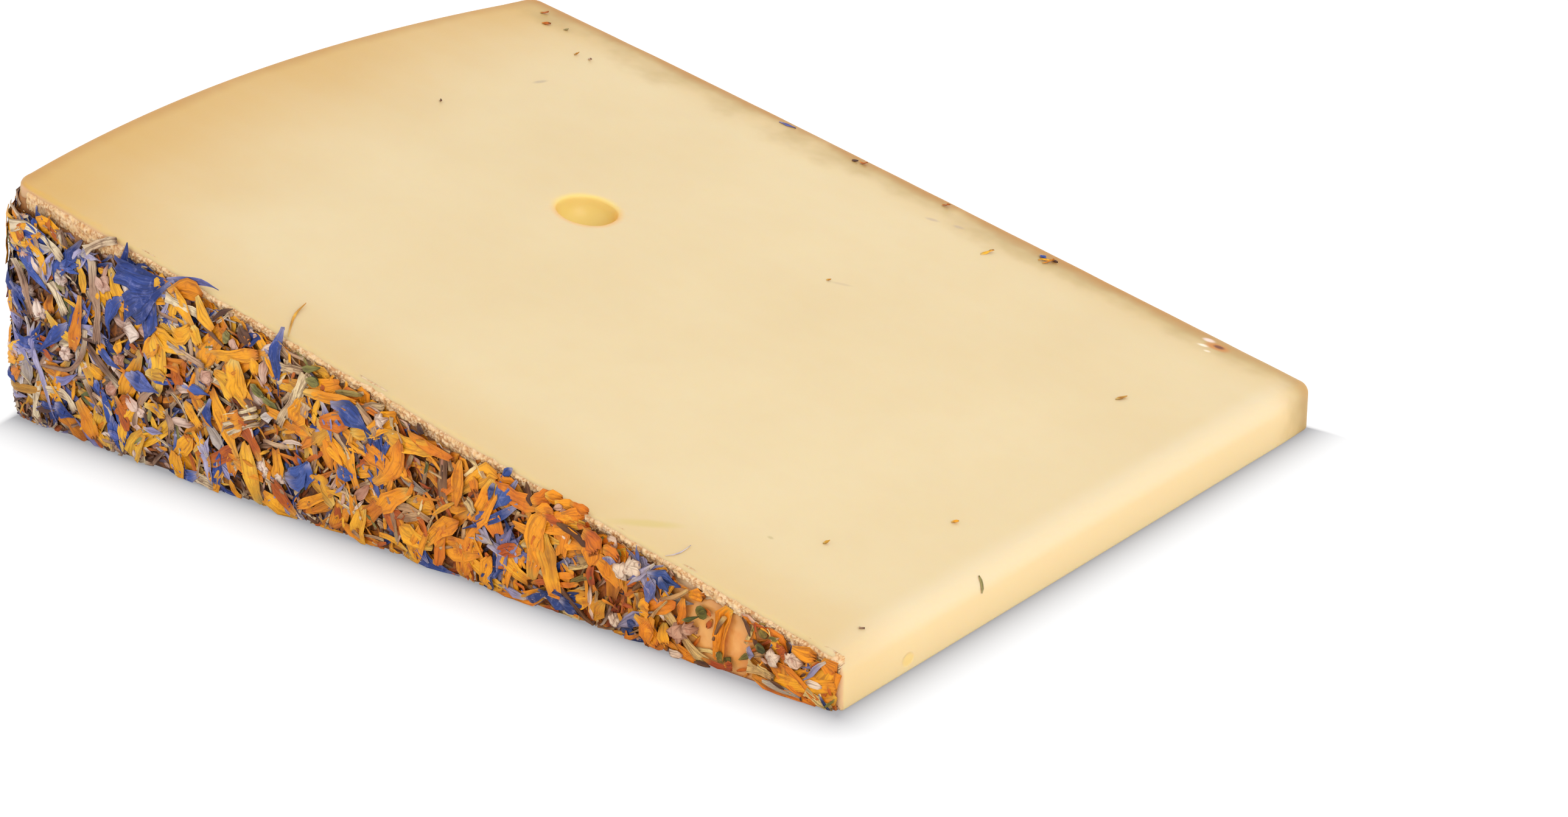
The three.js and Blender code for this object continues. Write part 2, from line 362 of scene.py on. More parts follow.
def pasteBody():
    depth = edgeSteps(wheel["height"], paste["stations"], widest=0.66)
    rings = []
    for d in depth:
        y = d - halfHeight
        nearBack = float(smooth(1 - (wheel["height"] - d) / 6))
        lower, end, upper, side = pasteSlice(shoulderRadius(d), nearBack)
        ring = np.concatenate([lower, end[1:], upper[::-1][1:], side[::-1][1:-1]])
        count = len(ring)
        ahead = np.roll(ring, -1, 0) - np.roll(ring, 1, 0)
        inward = np.stack([-ahead[:, 1], ahead[:, 0]], -1)
        inward /= np.linalg.norm(inward, axis=1)[:, None]
        rho = np.hypot(axisX - ring[:, 0], ring[:, 1])
        worn = ripples(ring[:, 0], 3 * ring[:, 1], 4, longest=14, shortest=2.5)
        edge = paste["cutEdge"] * (1 + 0.35 * worn)
        if y > 0:
            edge = paste["backEdge"] * (1 + 0.1 * ripples(ring[:, 0], ring[:, 1], 5))
        gap = np.clip(edge - min(d, wheel["height"] - d), 0, None)
        inset = edge - np.sqrt(np.clip(edge ** 2 - gap ** 2, 0, None))
        ring = ring + inward * inset[:, None]
        swell = crownAt(rho) * d / wheel["height"]
        rings.append(np.column_stack([ring[:, 0], wheel["middleY"] + y + swell, ring[:, 1]]))
    points = np.concatenate(rings)
    quads = [gridQuads(len(depth), count, closed=True)]
    rows, sides = len(lower), len(end)
    corner = {"lower": np.arange(rows), "end": rows - 1 + np.arange(sides)}
    corner["upper"] = (rows + sides - 2 + np.arange(rows))[::-1]
    corner["side"] = np.append(0, np.arange(count - 1, 2 * rows + sides - 4, -1))
    capped = [points]
    start = len(points)
    for first, flip in ((0, False), ((len(depth) - 1) * count, True)):
        ring = points[first:first + count]
        patch = facePatch(*(ring[corner[key]] for key in ("lower", "upper", "side", "end")))
        number = np.zeros((rows, sides), int)
        number[:, 0] = first + corner["lower"]
        number[:, -1] = first + corner["upper"]
        number[0] = first + corner["side"]
        number[-1] = first + corner["end"]
        inner = patch[1:-1, 1:-1].reshape(-1, 3)
        number[1:-1, 1:-1] = start + np.arange(len(inner)).reshape(rows - 2, sides - 2)
        start += len(inner)
        capped.append(inner)
        cells = np.stack([number[:-1, :-1], number[1:, :-1], number[1:, 1:], number[:-1, 1:]], -1)
        cells = cells.reshape(-1, 4)
        quads.append(cells if flip else cells[:, ::-1])
    points = np.concatenate(capped)
    shapeCut(points)
    return points, facingOut(points, np.concatenate(quads))


pasteLook = {
    "cream": "#CCB588",
    "pale": "#D2BE94",
    "warm": "#C8AB78",
    "nearRind": "#C09442",
    "underRind": "#AA7A36",
    # the thin end's face is painted lighter than the upper cut: painted light
    "tip": "#DABF8C",
    "side": "#CC9E74",
    # painted highlight along the rounded edge between the upper cut and the thin end
    "tipEdgeHighlight": "#D3C09A",
    "blotch": "#A48A54",
    "dent": "#E2BC5C",
    # the eye's colours paint shade on its near side and light on its far wall
    "eyeFarLit": "#DCC26C",
    "eyeNearShade": "#DC9C36",
    "glow": 0.35,
    "glowReach": (3.0, 1.6, 0.6),
    "spots": (  # colour, strength, from the axis, from the front, half length, half width, turn in degrees
        ("#BCA84A", 0.4, 57.8, 3.6, 4.4, 0.9, 135),
        ("#A08A84", 0.45, 81.0, 85.0, 1.1, 0.45, 162),
        ("#A08A84", 0.40, 77.8, 86.2, 0.8, 0.4, 162),
        ("#A08C78", 0.55, 133.8, 71.8, 1.2, 0.4, 105),
        ("#B49C80", 0.40, 77.6, 62.4, 1.6, 0.35, 150),
        ("#F6EADA", 0.70, 42.3, 87.3, 0.8, 0.35, 160),
        ("#F6EADA", 0.50, 41.2, 86.5, 0.5, 0.3, 160),
        ("#8E7A3C", 0.35, 48.0, 12.0, 0.4, 0.3, 0),
        ("#BC7426", 0.85, 41.0, 88.3, 1.6, 0.85, 165),
        ("#6A3010", 0.95, 40.8, 88.5, 0.7, 0.4, 165),
        ("#E6CFC6", 0.85, 42.5, 88.9, 0.8, 0.45, 165),
    ),
}


def rindRadiusWire(fromMiddle):
    share = fromMiddle / halfHeight
    return wheel["radius"] + wheel["bulge"] - share * share * wheel["bulge"]


def pasteFinish():
    look = Finish("smoothPaste")
    place = look.place()
    x, y, z = look.split(place)
    out = axisX - x
    rho = (out * out + z * z) ** 0.5
    fromMiddle = y - wheel["middleY"]
    fromRind = rindRadiusWire(fromMiddle) - rho
    swell = ((rho / wheel["radius"]) ** wheel["crownPower"] * math.pi).wave() * wheel["crown"]
    swell = swell + rho.fade(120, 30) * wheel["tipSwell"]
    fromBack = halfHeight + swell - fromMiddle
    fromFront = fromMiddle + halfHeight
    fromTip = wheel["tipX"] - x
    below = out * math.sin(cutAngle) - z * math.cos(cutAngle)
    drift = look.noise(place, 0.035, 2, 0.5) - 0.5
    cloud = look.noise(place, 0.12, 3, 0.6) - 0.5
    look.colour = look.blend((drift * 1.6 + 0.5), tone(pasteLook["cream"]), tone(pasteLook["pale"]))
    look.paint((cloud.size() * 0.5), pasteLook["warm"])
    onTip = z.fade(5.4, 3.4) * fromTip.fade(1.6, 0.4)
    # a painted highlight along the rounded edge between the upper cut and the thin end
    highlightBand = fromTip.fade(4, 1.4) * z.fade(3, 4.2) * below.fade(2.5, 1)
    look.paint(highlightBand, pasteLook["tipEdgeHighlight"])
    # paints the thin end's face lighter than the upper cut: painted light on that face
    look.paint(onTip, pasteLook["tip"])
    nearRind, underRind = pasteLook["nearRind"], pasteLook["underRind"]
    towardsRind = (fromRind + drift * 12 + fromFront * 0.12).fade(34, 0)
    look.paint(towardsRind * 0.85, nearRind)
    frontShade = (fromFront + cloud * 2).fade(13, 0.5)
    look.paint(frontShade * 0.3 * (1 - onTip * 0.5), nearRind)
    look.paint((fromBack + cloud * 3).fade(9, 0) * 0.35, nearRind)
    look.paint((fromBack + cloud * 12).fade(6.5, 0) * 0.6, pasteLook["blotch"])
    edgeShare = fromTip.fade(2, 25) * 0.45 + 0.45
    look.paint((fromBack + cloud * 3).fade(2.8, 0.4) * edgeShare, underRind)
    look.paint(fromBack.fade(3, 0.2) * onTip * 0.5, pasteLook["blotch"])
    look.paint((fromRind + cloud * 2).fade(3, 0.3) * 0.65, underRind)
    eyeX = rho - paste["eyeFromAxis"]
    eyeAcross = y - paste["eyeY"]
    eyeReach = (eyeX * eyeX + eyeAcross * eyeAcross) ** 0.5
    inEye = eyeReach.fade(paste["eyeRadius"] + 0.8, paste["eyeRadius"] - 0.6)
    inEye = inEye * below.fade(-1, 0.2) * below.fade(6, 5)
    # painted shade and light in the eye's hollow: darker towards its near side, lighter on its far wall
    eyeNearShade, eyeFarLit = tone(pasteLook["eyeNearShade"]), tone(pasteLook["eyeFarLit"])
    eyeShading = look.blend((eyeX + eyeAcross).fade(-3, 3.5), eyeNearShade, eyeFarLit)
    look.paint(inEye * 0.95, eyeShading)
    onTop = below.fade(0.6, 0.3) * fromTip.fade(1, 2)
    for code, strength, reach, across, long, wide, turn in pasteLook["spots"]:
        along, beside = rho - reach, fromFront - across
        cosine, sine = math.cos(math.radians(turn)), math.sin(math.radians(turn))
        u = (along * cosine + beside * sine) / long
        v = (beside * cosine - along * sine) / wide
        spot = ((u * u + v * v) ** 0.5 + cloud).fade(1.2, 0.3)
        look.paint(spot * onTop * strength, code)
    dentY, dentZ = (fromFront - 11.2) / 1.0, (z - 1.5) / 0.75
    dent = (dentY * dentY + dentZ * dentZ).fade(1.3, 0.4) * onTip
    look.paint(dent * 0.5, pasteLook["dent"])
    frontEdge = fromFront.fade(0.5, 0.15) * below.fade(0.2, 0.6)
    look.paint(frontEdge * 0.8, pasteLook["side"])
    grain = look.noise(place, 2.2, 3, 0.6)
    wide = look.noise(place, 0.25, 2, 0.5)
    height = grain * 0.06 + wide * 0.3 - dent * 0.6
    return look.surface(
        Base_Color=look.colour,
        Roughness=(0.36 + 0.1 * grain),
        Subsurface_Weight=pasteLook["glow"],
        Subsurface_Radius=tuple(reach * mm for reach in pasteLook["glowReach"]),
        Subsurface_Scale=1.0,
        IOR=1.42,
        Normal=look.bump(height, 0.5, 0.25),
    )


points, quads = pasteBody()
cheese = makePiece("pasteWedge", points, quads, pasteFinish())
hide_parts("cheese")
print("paste done:", len(quads) * 2, "triangles")


# The outside of the wheel as one profile: out along the front, over the rind and back along the back

def wheelProfile():
    shoulderY = halfHeight - wheel["shoulder"]
    shoulderRho = rindRadius(shoulderY) - wheel["shoulder"]
    turn = np.linspace(0, np.pi / 2, 16)
    flat = np.linspace(0, shoulderRho, 90)
    y = np.linspace(-shoulderY, shoulderY, 120)
    bend = wheel["shoulder"]
    out, over = bend * np.sin(turn), bend * np.cos(turn)
    rho = [flat[:-1], shoulderRho + out, rindRadius(y)[1:-1], shoulderRho + over]
    across = [0 * flat[:-1] - halfHeight, -shoulderY - over, y[1:-1], shoulderY + out]
    back = flat[::-1][1:]
    rho = np.concatenate(rho + [back])
    across = np.concatenate(across + [halfHeight + crownAt(back)])
    reach = np.concatenate([[0], np.cumsum(np.hypot(np.diff(rho), np.diff(across)))])
    even = np.linspace(0, reach[-1], 1600)
    rho, across = np.interp(even, reach, rho), np.interp(even, reach, across)
    outRho, outY = np.gradient(across), -np.gradient(rho)
    size = np.hypot(outRho, outY)
    return even, rho, across, outRho / size, outY / size


profile = wheelProfile()
profileLength = profile[0][-1]
frontReach = wheel["radius"] - wheel["shoulder"] / 2  # along the profile, to the rind's front edge
rindLength = profileLength - 2 * frontReach


def onWheel(reach, angle, lift):
    along, rho, across, outRho, outY = profile
    here = np.interp(reach, along, rho) + lift * np.interp(reach, along, outRho)
    y = wheel["middleY"] + np.interp(reach, along, across) + lift * np.interp(reach, along, outY)
    return np.stack([axisX - here * np.cos(angle), y, here * np.sin(angle)], -1)


# Each face is a flat map: a runs along it and b up it. On the front and back, a is the distance from
# the axis; on the rind, a runs from the front edge to the back edge. On the upper cut a is again the
# distance from the axis, on the thin end the height, and b is the distance from the front.
def onFace(face, a, b, lift):
    if face == "cut":
        sine, cosine = math.sin(cutAngle), math.cos(cutAngle)
        y = b - wheel["height"] / 2 + wheel["middleY"] + 0 * lift
        return np.stack([axisX - a * cosine + lift * sine, y, a * sine + lift * cosine], -1)
    if face == "tip":
        turn = np.clip((a - paste["tipStraight"]) / paste["tipRound"], 0, 1.4)
        reach = paste["tipRound"] + lift
        x = wheel["tipX"] - paste["tipRound"] + reach * np.cos(turn)
        y = b - wheel["height"] / 2 + wheel["middleY"] + 0 * lift
        return np.stack([x, y, np.minimum(a, paste["tipStraight"]) + reach * np.sin(turn)], -1)
    if face == "rind":
        return onWheel(frontReach + a, b / wheel["radius"], lift)
    reach = np.hypot(a, b)
    angle = np.arctan2(b, a)
    return onWheel(reach if face == "front" else profileLength - reach, angle, lift)


def highestUp(face, a, rim):
    if face in ("cut", "tip"):
        return 0 * a + 99.0
    if face == "rind":
        return 0 * a + wheel["radius"] * cutAngle - rim
    return a * math.tan(cutAngle) - rim / math.cos(cutAngle)


def closedSheet(outer, inner):  # two grids of points joined round their border
    rows, columns = outer.shape[:2]
    outer[..., 2] = np.maximum(outer[..., 2], 0.02)
    inner[..., 2] = np.maximum(inner[..., 2], 0.02)
    count = rows * columns
    number = np.arange(count).reshape(rows, columns)
    border = np.concatenate([number[:, 0], number[-1, 1:], number[::-1, -1][1:], number[0, ::-1][1:-1]])
    ahead = np.roll(border, -1)
    wall = np.stack([border, border + count, ahead + count, ahead], -1)
    sheet = gridQuads(rows, columns)
    quads = np.concatenate([sheet[:, ::-1], sheet + count, wall])
    points = np.concatenate([outer.reshape(-1, 3), inner.reshape(-1, 3)])
    return points, facingOut(points, quads)


# The rind: a thin matted skin that stops short of the upper cut and the thin end. Its dark colours are the
# matted crust's own and painted shade in the gaps between the petals.

rind = {
    "skin": 0.16,
    "relief": 0.34,
    "rim": 1.7,  # bare strip under the upper cut
    "tipRim": 0.7,
    "along": 470,
    "up": 26,
    "bareFrom": 9.0,  # where little lies on it, from the thin end
    "bareTo": 23.0,
}


def bareShare(face, a, b):  # 1 where the rind shows
    if face != "front":
        return 0 * a
    along = a - tipFromAxis + 1.2 * ripples(a, b, 21, longest=12, shortest=3)
    along = along + 1.5 * smooth((3.5 - b) / 2)
    patch = smooth((along - rind["bareFrom"]) / 2) * smooth((rind["bareTo"] - along) / 3)
    return patch * smooth((b + 0.5) / 1.5)


def rindSkin():
    reach = np.linspace(tipFromAxis + 0.2, profileLength - tipFromAxis - 0.2, rind["along"])
    up = np.linspace(0, 1, rind["up"])
    reach, up = np.meshgrid(reach, up, indexing="ij")
    onBack = reach > profileLength / 2
    flat = np.where(onBack, profileLength - reach, reach)
    rho = np.interp(reach, profile[0], profile[1])
    wavy = 0.35 * ripples(reach, 0 * reach, 11, longest=9, shortest=1.6)
    angle = up * (cutAngle - (rind["rim"] + wavy) / rho)
    nearest = (tipFromAxis + rind["tipRim"]) / np.cos(angle)
    flat = np.maximum(flat, nearest)
    reach = np.where(onBack, profileLength - flat, flat)
    rough = ripples(reach, rho * angle, 12, waves=7, longest=7, shortest=1.5)
    bare = bareShare("front", flat * np.cos(angle), flat * np.sin(angle)) * (1 - onBack)
    height = rind["skin"] + rind["relief"] * (0.35 + 0.35 * rough) * (1 - 0.9 * bare)
    edge = smooth(np.minimum(up, 1 - up) * rho * cutAngle / 0.9) * smooth((flat - nearest) / 1.2)
    outer = onWheel(reach, angle, 0.02 + np.clip(height, 0.08, None) * (0.1 + 0.9 * edge))
    inner = onWheel(reach, angle, -0.3)
    points, quads = closedSheet(outer, inner)
    return points, quads, np.tile(bare.ravel(), 2)


rindLook = {
    "bare": "#E8A65A",
    "bareDeep": "#DA8C42",
    "nearRim": "#B47C44",
    "matted": "#8E5222",
    "mattedDark": "#46240E",
    "rustInShade": "#C06A20",
    "rustInDeepShade": "#8A4210",
}


def rindFinish():
    look = Finish("mattedRind")
    place = look.place()
    bare = look.mark("bare")
    fine = look.noise(place, 1.3, 4, 0.65)
    wide = look.noise(place, 0.35, 3, 0.55)
    warmer = look.split(place)[0].fade(-10, 45)
    # the matted colours are the crust's own, darkened as painted shade for the gaps between the petals
    matted = look.blend(warmer, tone(rindLook["matted"]), tone(rindLook["rustInShade"]))
    mattedDark = look.blend(warmer, tone(rindLook["mattedDark"]), tone(rindLook["rustInDeepShade"]))
    matted = look.blend(fine.fade(0.35, 0.65), mattedDark, matted)
    open = look.blend(wide.fade(0.4, 0.7), tone(rindLook["bare"]), tone(rindLook["bareDeep"]))
    look.colour = look.blend((bare + (wide - 0.5) * 0.5).fade(0.25, 0.75), matted, open)
    x, y, z = look.split(place)
    below = (axisX - x) * math.sin(cutAngle) - z * math.cos(cutAngle)
    look.paint((below + wide).fade(4.5, 2.2) * 0.6, rindLook["nearRim"])
    height = fine * 0.6 + wide * 0.4
    return look.surface(
        Base_Color=look.colour,
        Roughness=0.62 - 0.36 * bare,
        IOR=1.42,
        Normal=look.bump(height * (1 - 0.7 * bare), 0.6, 0.4),
    )


points, quads, bare = rindSkin()
rindPiece = makePiece("rindSkin", points, quads, rindFinish(), {"bare": bare})
print("rind done:", len(quads) * 2, "triangles")


# The rim: a crumbly strip of paste between the upper cut and the front's crust, and loose crumbs on it

rim = {
    "step": 0.14,
    "rows": 22,
    "width": 1.15,
    "uneven": 0.35,
    # distance from the thin end, half length and extra width
    "wideAt": ((110, 8, 1.7), (120, 3, 1.2), (125, 3, 1.2), (54, 5, 0.8)),
    "height": 0.16,
    "relief": 0.3,
    "sunk": 0.6,  # how deep its edges lie in the paste
    "ends": 121.5,  # how far from the thin end it comes to nothing
    "loose": 150,
    "looseSizes": (0.25, 0.6),
    "glowReach": (1.5, 1.0, 0.5),
    "cream": "#CEA26E",
    "pale": "#DEBC92",
    # brown for the hollows between crumbs: partly the rim's own stain, partly painted shade
    "brown": "#B07238",
}


def rimWidth(face, a):
    wide = rim["width"] + rim["uneven"] * ripples(a, 0 * a, 31, longest=11, shortest=1.5)
    if face == "front":
        for middle, reach, extra in rim["wideAt"]:
            wide = wide + extra * smooth(1.5 - np.abs(a - tipFromAxis - middle) / reach)
    return wide


def rimStrip():
    start, end = tipFromAxis + 0.3, tipFromAxis + rim["ends"]
    steps, rows = np.arange(start, end, rim["step"]), np.linspace(0, 1, rim["rows"])
    reach, down = np.meshgrid(steps, rows, indexing="ij")
    drop = 0.03 + down * (rimWidth("front", reach) + 0.4)
    angle = cutAngle - drop / reach
    crumb = np.abs(ripples(reach, 1.3 * drop, 33, waves=8, longest=5, shortest=0.6))
    crumb = 0.7 * crumb + 0.6 * np.random.default_rng(34).uniform(0, 1, crumb.shape) ** 4
    body = smooth(down / 0.3) * (1 - smooth((down - 0.75) / 0.25)) * smooth((end - reach) / 1.5)
    reach = np.maximum(reach, start / np.cos(angle))
    sunk = rim["sunk"]
    outer = onWheel(reach, angle, -sunk + (sunk + rim["height"] + rim["relief"] * crumb) * body)
    points, quads = closedSheet(outer, onWheel(reach, angle, -1.5 * sunk))
    return points, quads, np.tile(crumb.ravel(), 2)


def crumbShape(draw):
    steps, ring = 4, 6
    t, turn = np.linspace(0.18, np.pi - 0.18, steps), np.arange(ring) * 2 * np.pi / ring
    t, turn = np.meshgrid(t, turn, indexing="ij")
    shape = np.stack([np.sin(t) * np.cos(turn), np.cos(t), np.sin(t) * np.sin(turn)], -1).reshape(-1, 3)
    shape = shape * draw.uniform(0.6, 1.3, (len(shape), 1))
    return shape, tubeQuads(steps, ring)


def rimCrumbs(points, quads, crumb):
    draw = np.random.default_rng(5)
    points, quads, crumb = [points], [quads], [crumb]
    count = len(points[0])
    for _ in range(rim["loose"]):
        a = draw.uniform(tipFromAxis + 0.6, tipFromAxis + rim["ends"] - 3)
        drop = draw.uniform(0.15, float(rimWidth("front", np.float64(a))))
        shape, cells = crumbShape(draw)
        size = draw.uniform(*rim["looseSizes"]) * draw.uniform(0.4, 1)
        middle = onFace("front", np.float64(a), float(highestUp("front", np.float64(a), drop)), 0.3)
        shape = shape * size * np.array([draw.uniform(0.6, 1.4), 0.4, draw.uniform(0.5, 0.9)]) / 2
        points.append(shape + middle)
        quads.append(facingOut(shape, cells) + count)
        crumb.append(np.full(len(shape), 0.7))
        count += len(shape)
    return np.concatenate(points), np.concatenate(quads), np.concatenate(crumb)


def rimFinish():
    look = Finish("crumblyPaste")
    place = look.place()
    fine = look.noise(place, 1.7, 3, 0.65)
    patchy = look.noise(place, 0.45, 3, 0.6)
    look.colour = look.blend(fine.fade(0.35, 0.65), tone(rim["cream"]), tone(rim["pale"]))
    # brown in the hollows between the crumbs: partly the rim's own stain, partly painted shade
    hollowStainAndShade = (look.mark("crumb") + (patchy - 0.5) * 0.8).fade(0.45, 0.05)
    look.paint(hollowStainAndShade * 0.75, rim["brown"])
    return look.surface(Base_Color=look.colour, Roughness=0.55 + 0.1 * fine, Subsurface_Weight=0.3,
                        Subsurface_Radius=tuple(reach * mm for reach in rim["glowReach"]),
                        Subsurface_Scale=1.0, IOR=1.42,
                        Normal=look.bump(fine, 0.7, 0.25))


points, quads, crumb = rimCrumbs(*rimStrip())
rimPiece = makePiece("crumblyRim", points, quads, rimFinish(), {"crumb": crumb})
print("rim done:", len(quads) * 2, "triangles")


# Petals. Each lies over what is already there, so the crust piles up as it is laid.

petalLay = {
    "cell": 0.4,  # size of a cell of the pile's map
    "base": 0.2,  # the skin that the first ones lie on
    # how far the crust may stand out: least at the edges, at the thin end with its growth, and at most
    "leastRoom": {"front": 0.5, "back": 0.12, "rind": 0.12},
    "tipRoom": {"front": (0.3, 0.11), "back": (0.12, 0.12)},
    "stands": {"front": 1.5, "back": 1.1, "rind": 1.1, "cut": 0.5, "tip": 0.5},
    "tipRims": {"front": 0.6, "back": 2.0},
    "bareTop": {"rind": 1.8, "back": 1.4},
}


class Pile:  # how high the crust stands on one face
    def __init__(self, face, longest, tallest):
        self.face = face
        self.low = -4.0
        self.pressed = True
        cells = [int((size - self.low + 6) / petalLay["cell"]) for size in (longest, tallest)]
        self.top = np.full(cells, petalLay["base"] if face in ("front", "back", "rind") else 0.0)

    def cells(self, a, b):
        i = np.clip(((a - self.low) / petalLay["cell"]).astype(int), 0, self.top.shape[0] - 1)
        j = np.clip(((b - self.low) / petalLay["cell"]).astype(int), 0, self.top.shape[1] - 1)
        return i, j

    def under(self, a, b):
        return self.top[self.cells(a, b)]

    def cover(self, a, b, half, level):
        i, j = self.cells(a, b)
        for row, column, reach, height in zip(i, j, half, level):
            n = int(round(reach / petalLay["cell"]))
            spot = self.top[max(row - n, 0):row + n + 1, max(column - n, 0):column + n + 1]
            np.maximum(spot, height, out=spot)

    def room(self, a, b):  # how far the crust may stand out: less towards the edges
        most = petalLay["stands"][self.face]
        if self.face in ("cut", "tip"):
            return 0 * a + most
        drop = highestUp(self.face, a, 0) - b
        room = 0.5 + 0.5 * np.minimum(drop, 2 * b) if self.face == "front" else 0.1 + 0.32 * (drop - 0.8)
        room = np.clip(room, petalLay["leastRoom"][self.face], most)
        if self.face == "rind":
            return room
        least, growth = petalLay["tipRoom"][self.face]
        return np.minimum(room, least + growth * (a - tipFromAxis))

    def stand(self, a, b, level):
        if not self.pressed:
            return level
        room = self.room(a, b)
        return room * np.tanh(level / room)

    def settle(self):  # what comes later lies loose on the pressed pile
        i, j = np.indices(self.top.shape)
        a, b = self.low + (i + 0.5) * petalLay["cell"], self.low + (j + 0.5) * petalLay["cell"]
        self.top = self.stand(a, b, self.top)
        self.pressed = False


sizes = {"front": (160, 34), "back": (160, 34), "rind": (100, 34), "cut": (160, 100), "tip": (10, 100)}
piles = {face: Pile(face, *size) for face, size in sizes.items()}


class Heap:  # the joined mesh of one kind of petal
    def __init__(self):
        self.points, self.quads = [], []
        self.marks = {"across": [], "along": [], "share": [], "tint": [], "deep": []}
        self.count = 0

    def put(self, points, quads, **marks):
        self.points.append(points)
        self.quads.append(facingOut(points, quads) + self.count)
        for key, values in marks.items():
            self.marks[key].append(np.broadcast_to(values, len(points)))
        self.count += len(points)


heapNames = "bluePetals fadedPetals orangePetals yellowPetals strawBits leafBits blossoms darkBits"
heaps = {name: Heap() for name in heapNames.split()}


outlines = {
    "strap": lambda t: (0.4 + 0.6 * smooth(t / 0.4)) * (1 - 0.35 * smooth((t - 0.8) / 0.2)),
    "lobe": lambda t: (0.3 + 0.7 * smooth(t / 0.45)) * (1 - 0.94 * smooth((t - 0.4) / 0.6) ** 1.2),
    "tube": lambda t: 0.14 + 0.86 * smooth((t - 0.2) / 0.65),
    "leaf": lambda t: np.sin(np.pi * (0.05 + 0.9 * t)) ** 0.8,
    "strip": lambda t: 0.8 + 0.2 * np.sin(9 * t + 2) * np.cos(5 * t),
    "thread": lambda t: 1 - 0.5 * smooth((t - 0.6) / 0.4),
}


def easeLine(points, steps):  # a smooth line through a few points, evenly stepped
    points = np.asarray(points, float)
    reach = np.concatenate([[0], np.cumsum(np.hypot(*np.diff(points, axis=0).T))])
    even = np.linspace(0, reach[-1], steps)
    line = np.stack([np.interp(even, reach, points[:, i]) for i in (0, 1)], -1)
    for _ in range(2):
        line[1:-1] = (line[:-2] + 2 * line[1:-1] + line[2:]) / 4
    return line


def howDeep(pile, a, b, pointsA, pointsB, lift):  # 0 on top of the pile, 1 at its foot, -1 on the cuts
    if pile.face in ("cut", "tip"):
        return 0 * lift - 1
    deep = 1 - np.clip(lift / pile.room(a, b)[:, None], 0, 1)
    drop = highestUp(pile.face, pointsA, 0) - pointsB
    return deep * (1 - bareShare(pile.face, pointsA, pointsB)) * (0.35 + 0.65 * smooth((drop - 1) / 2.5))


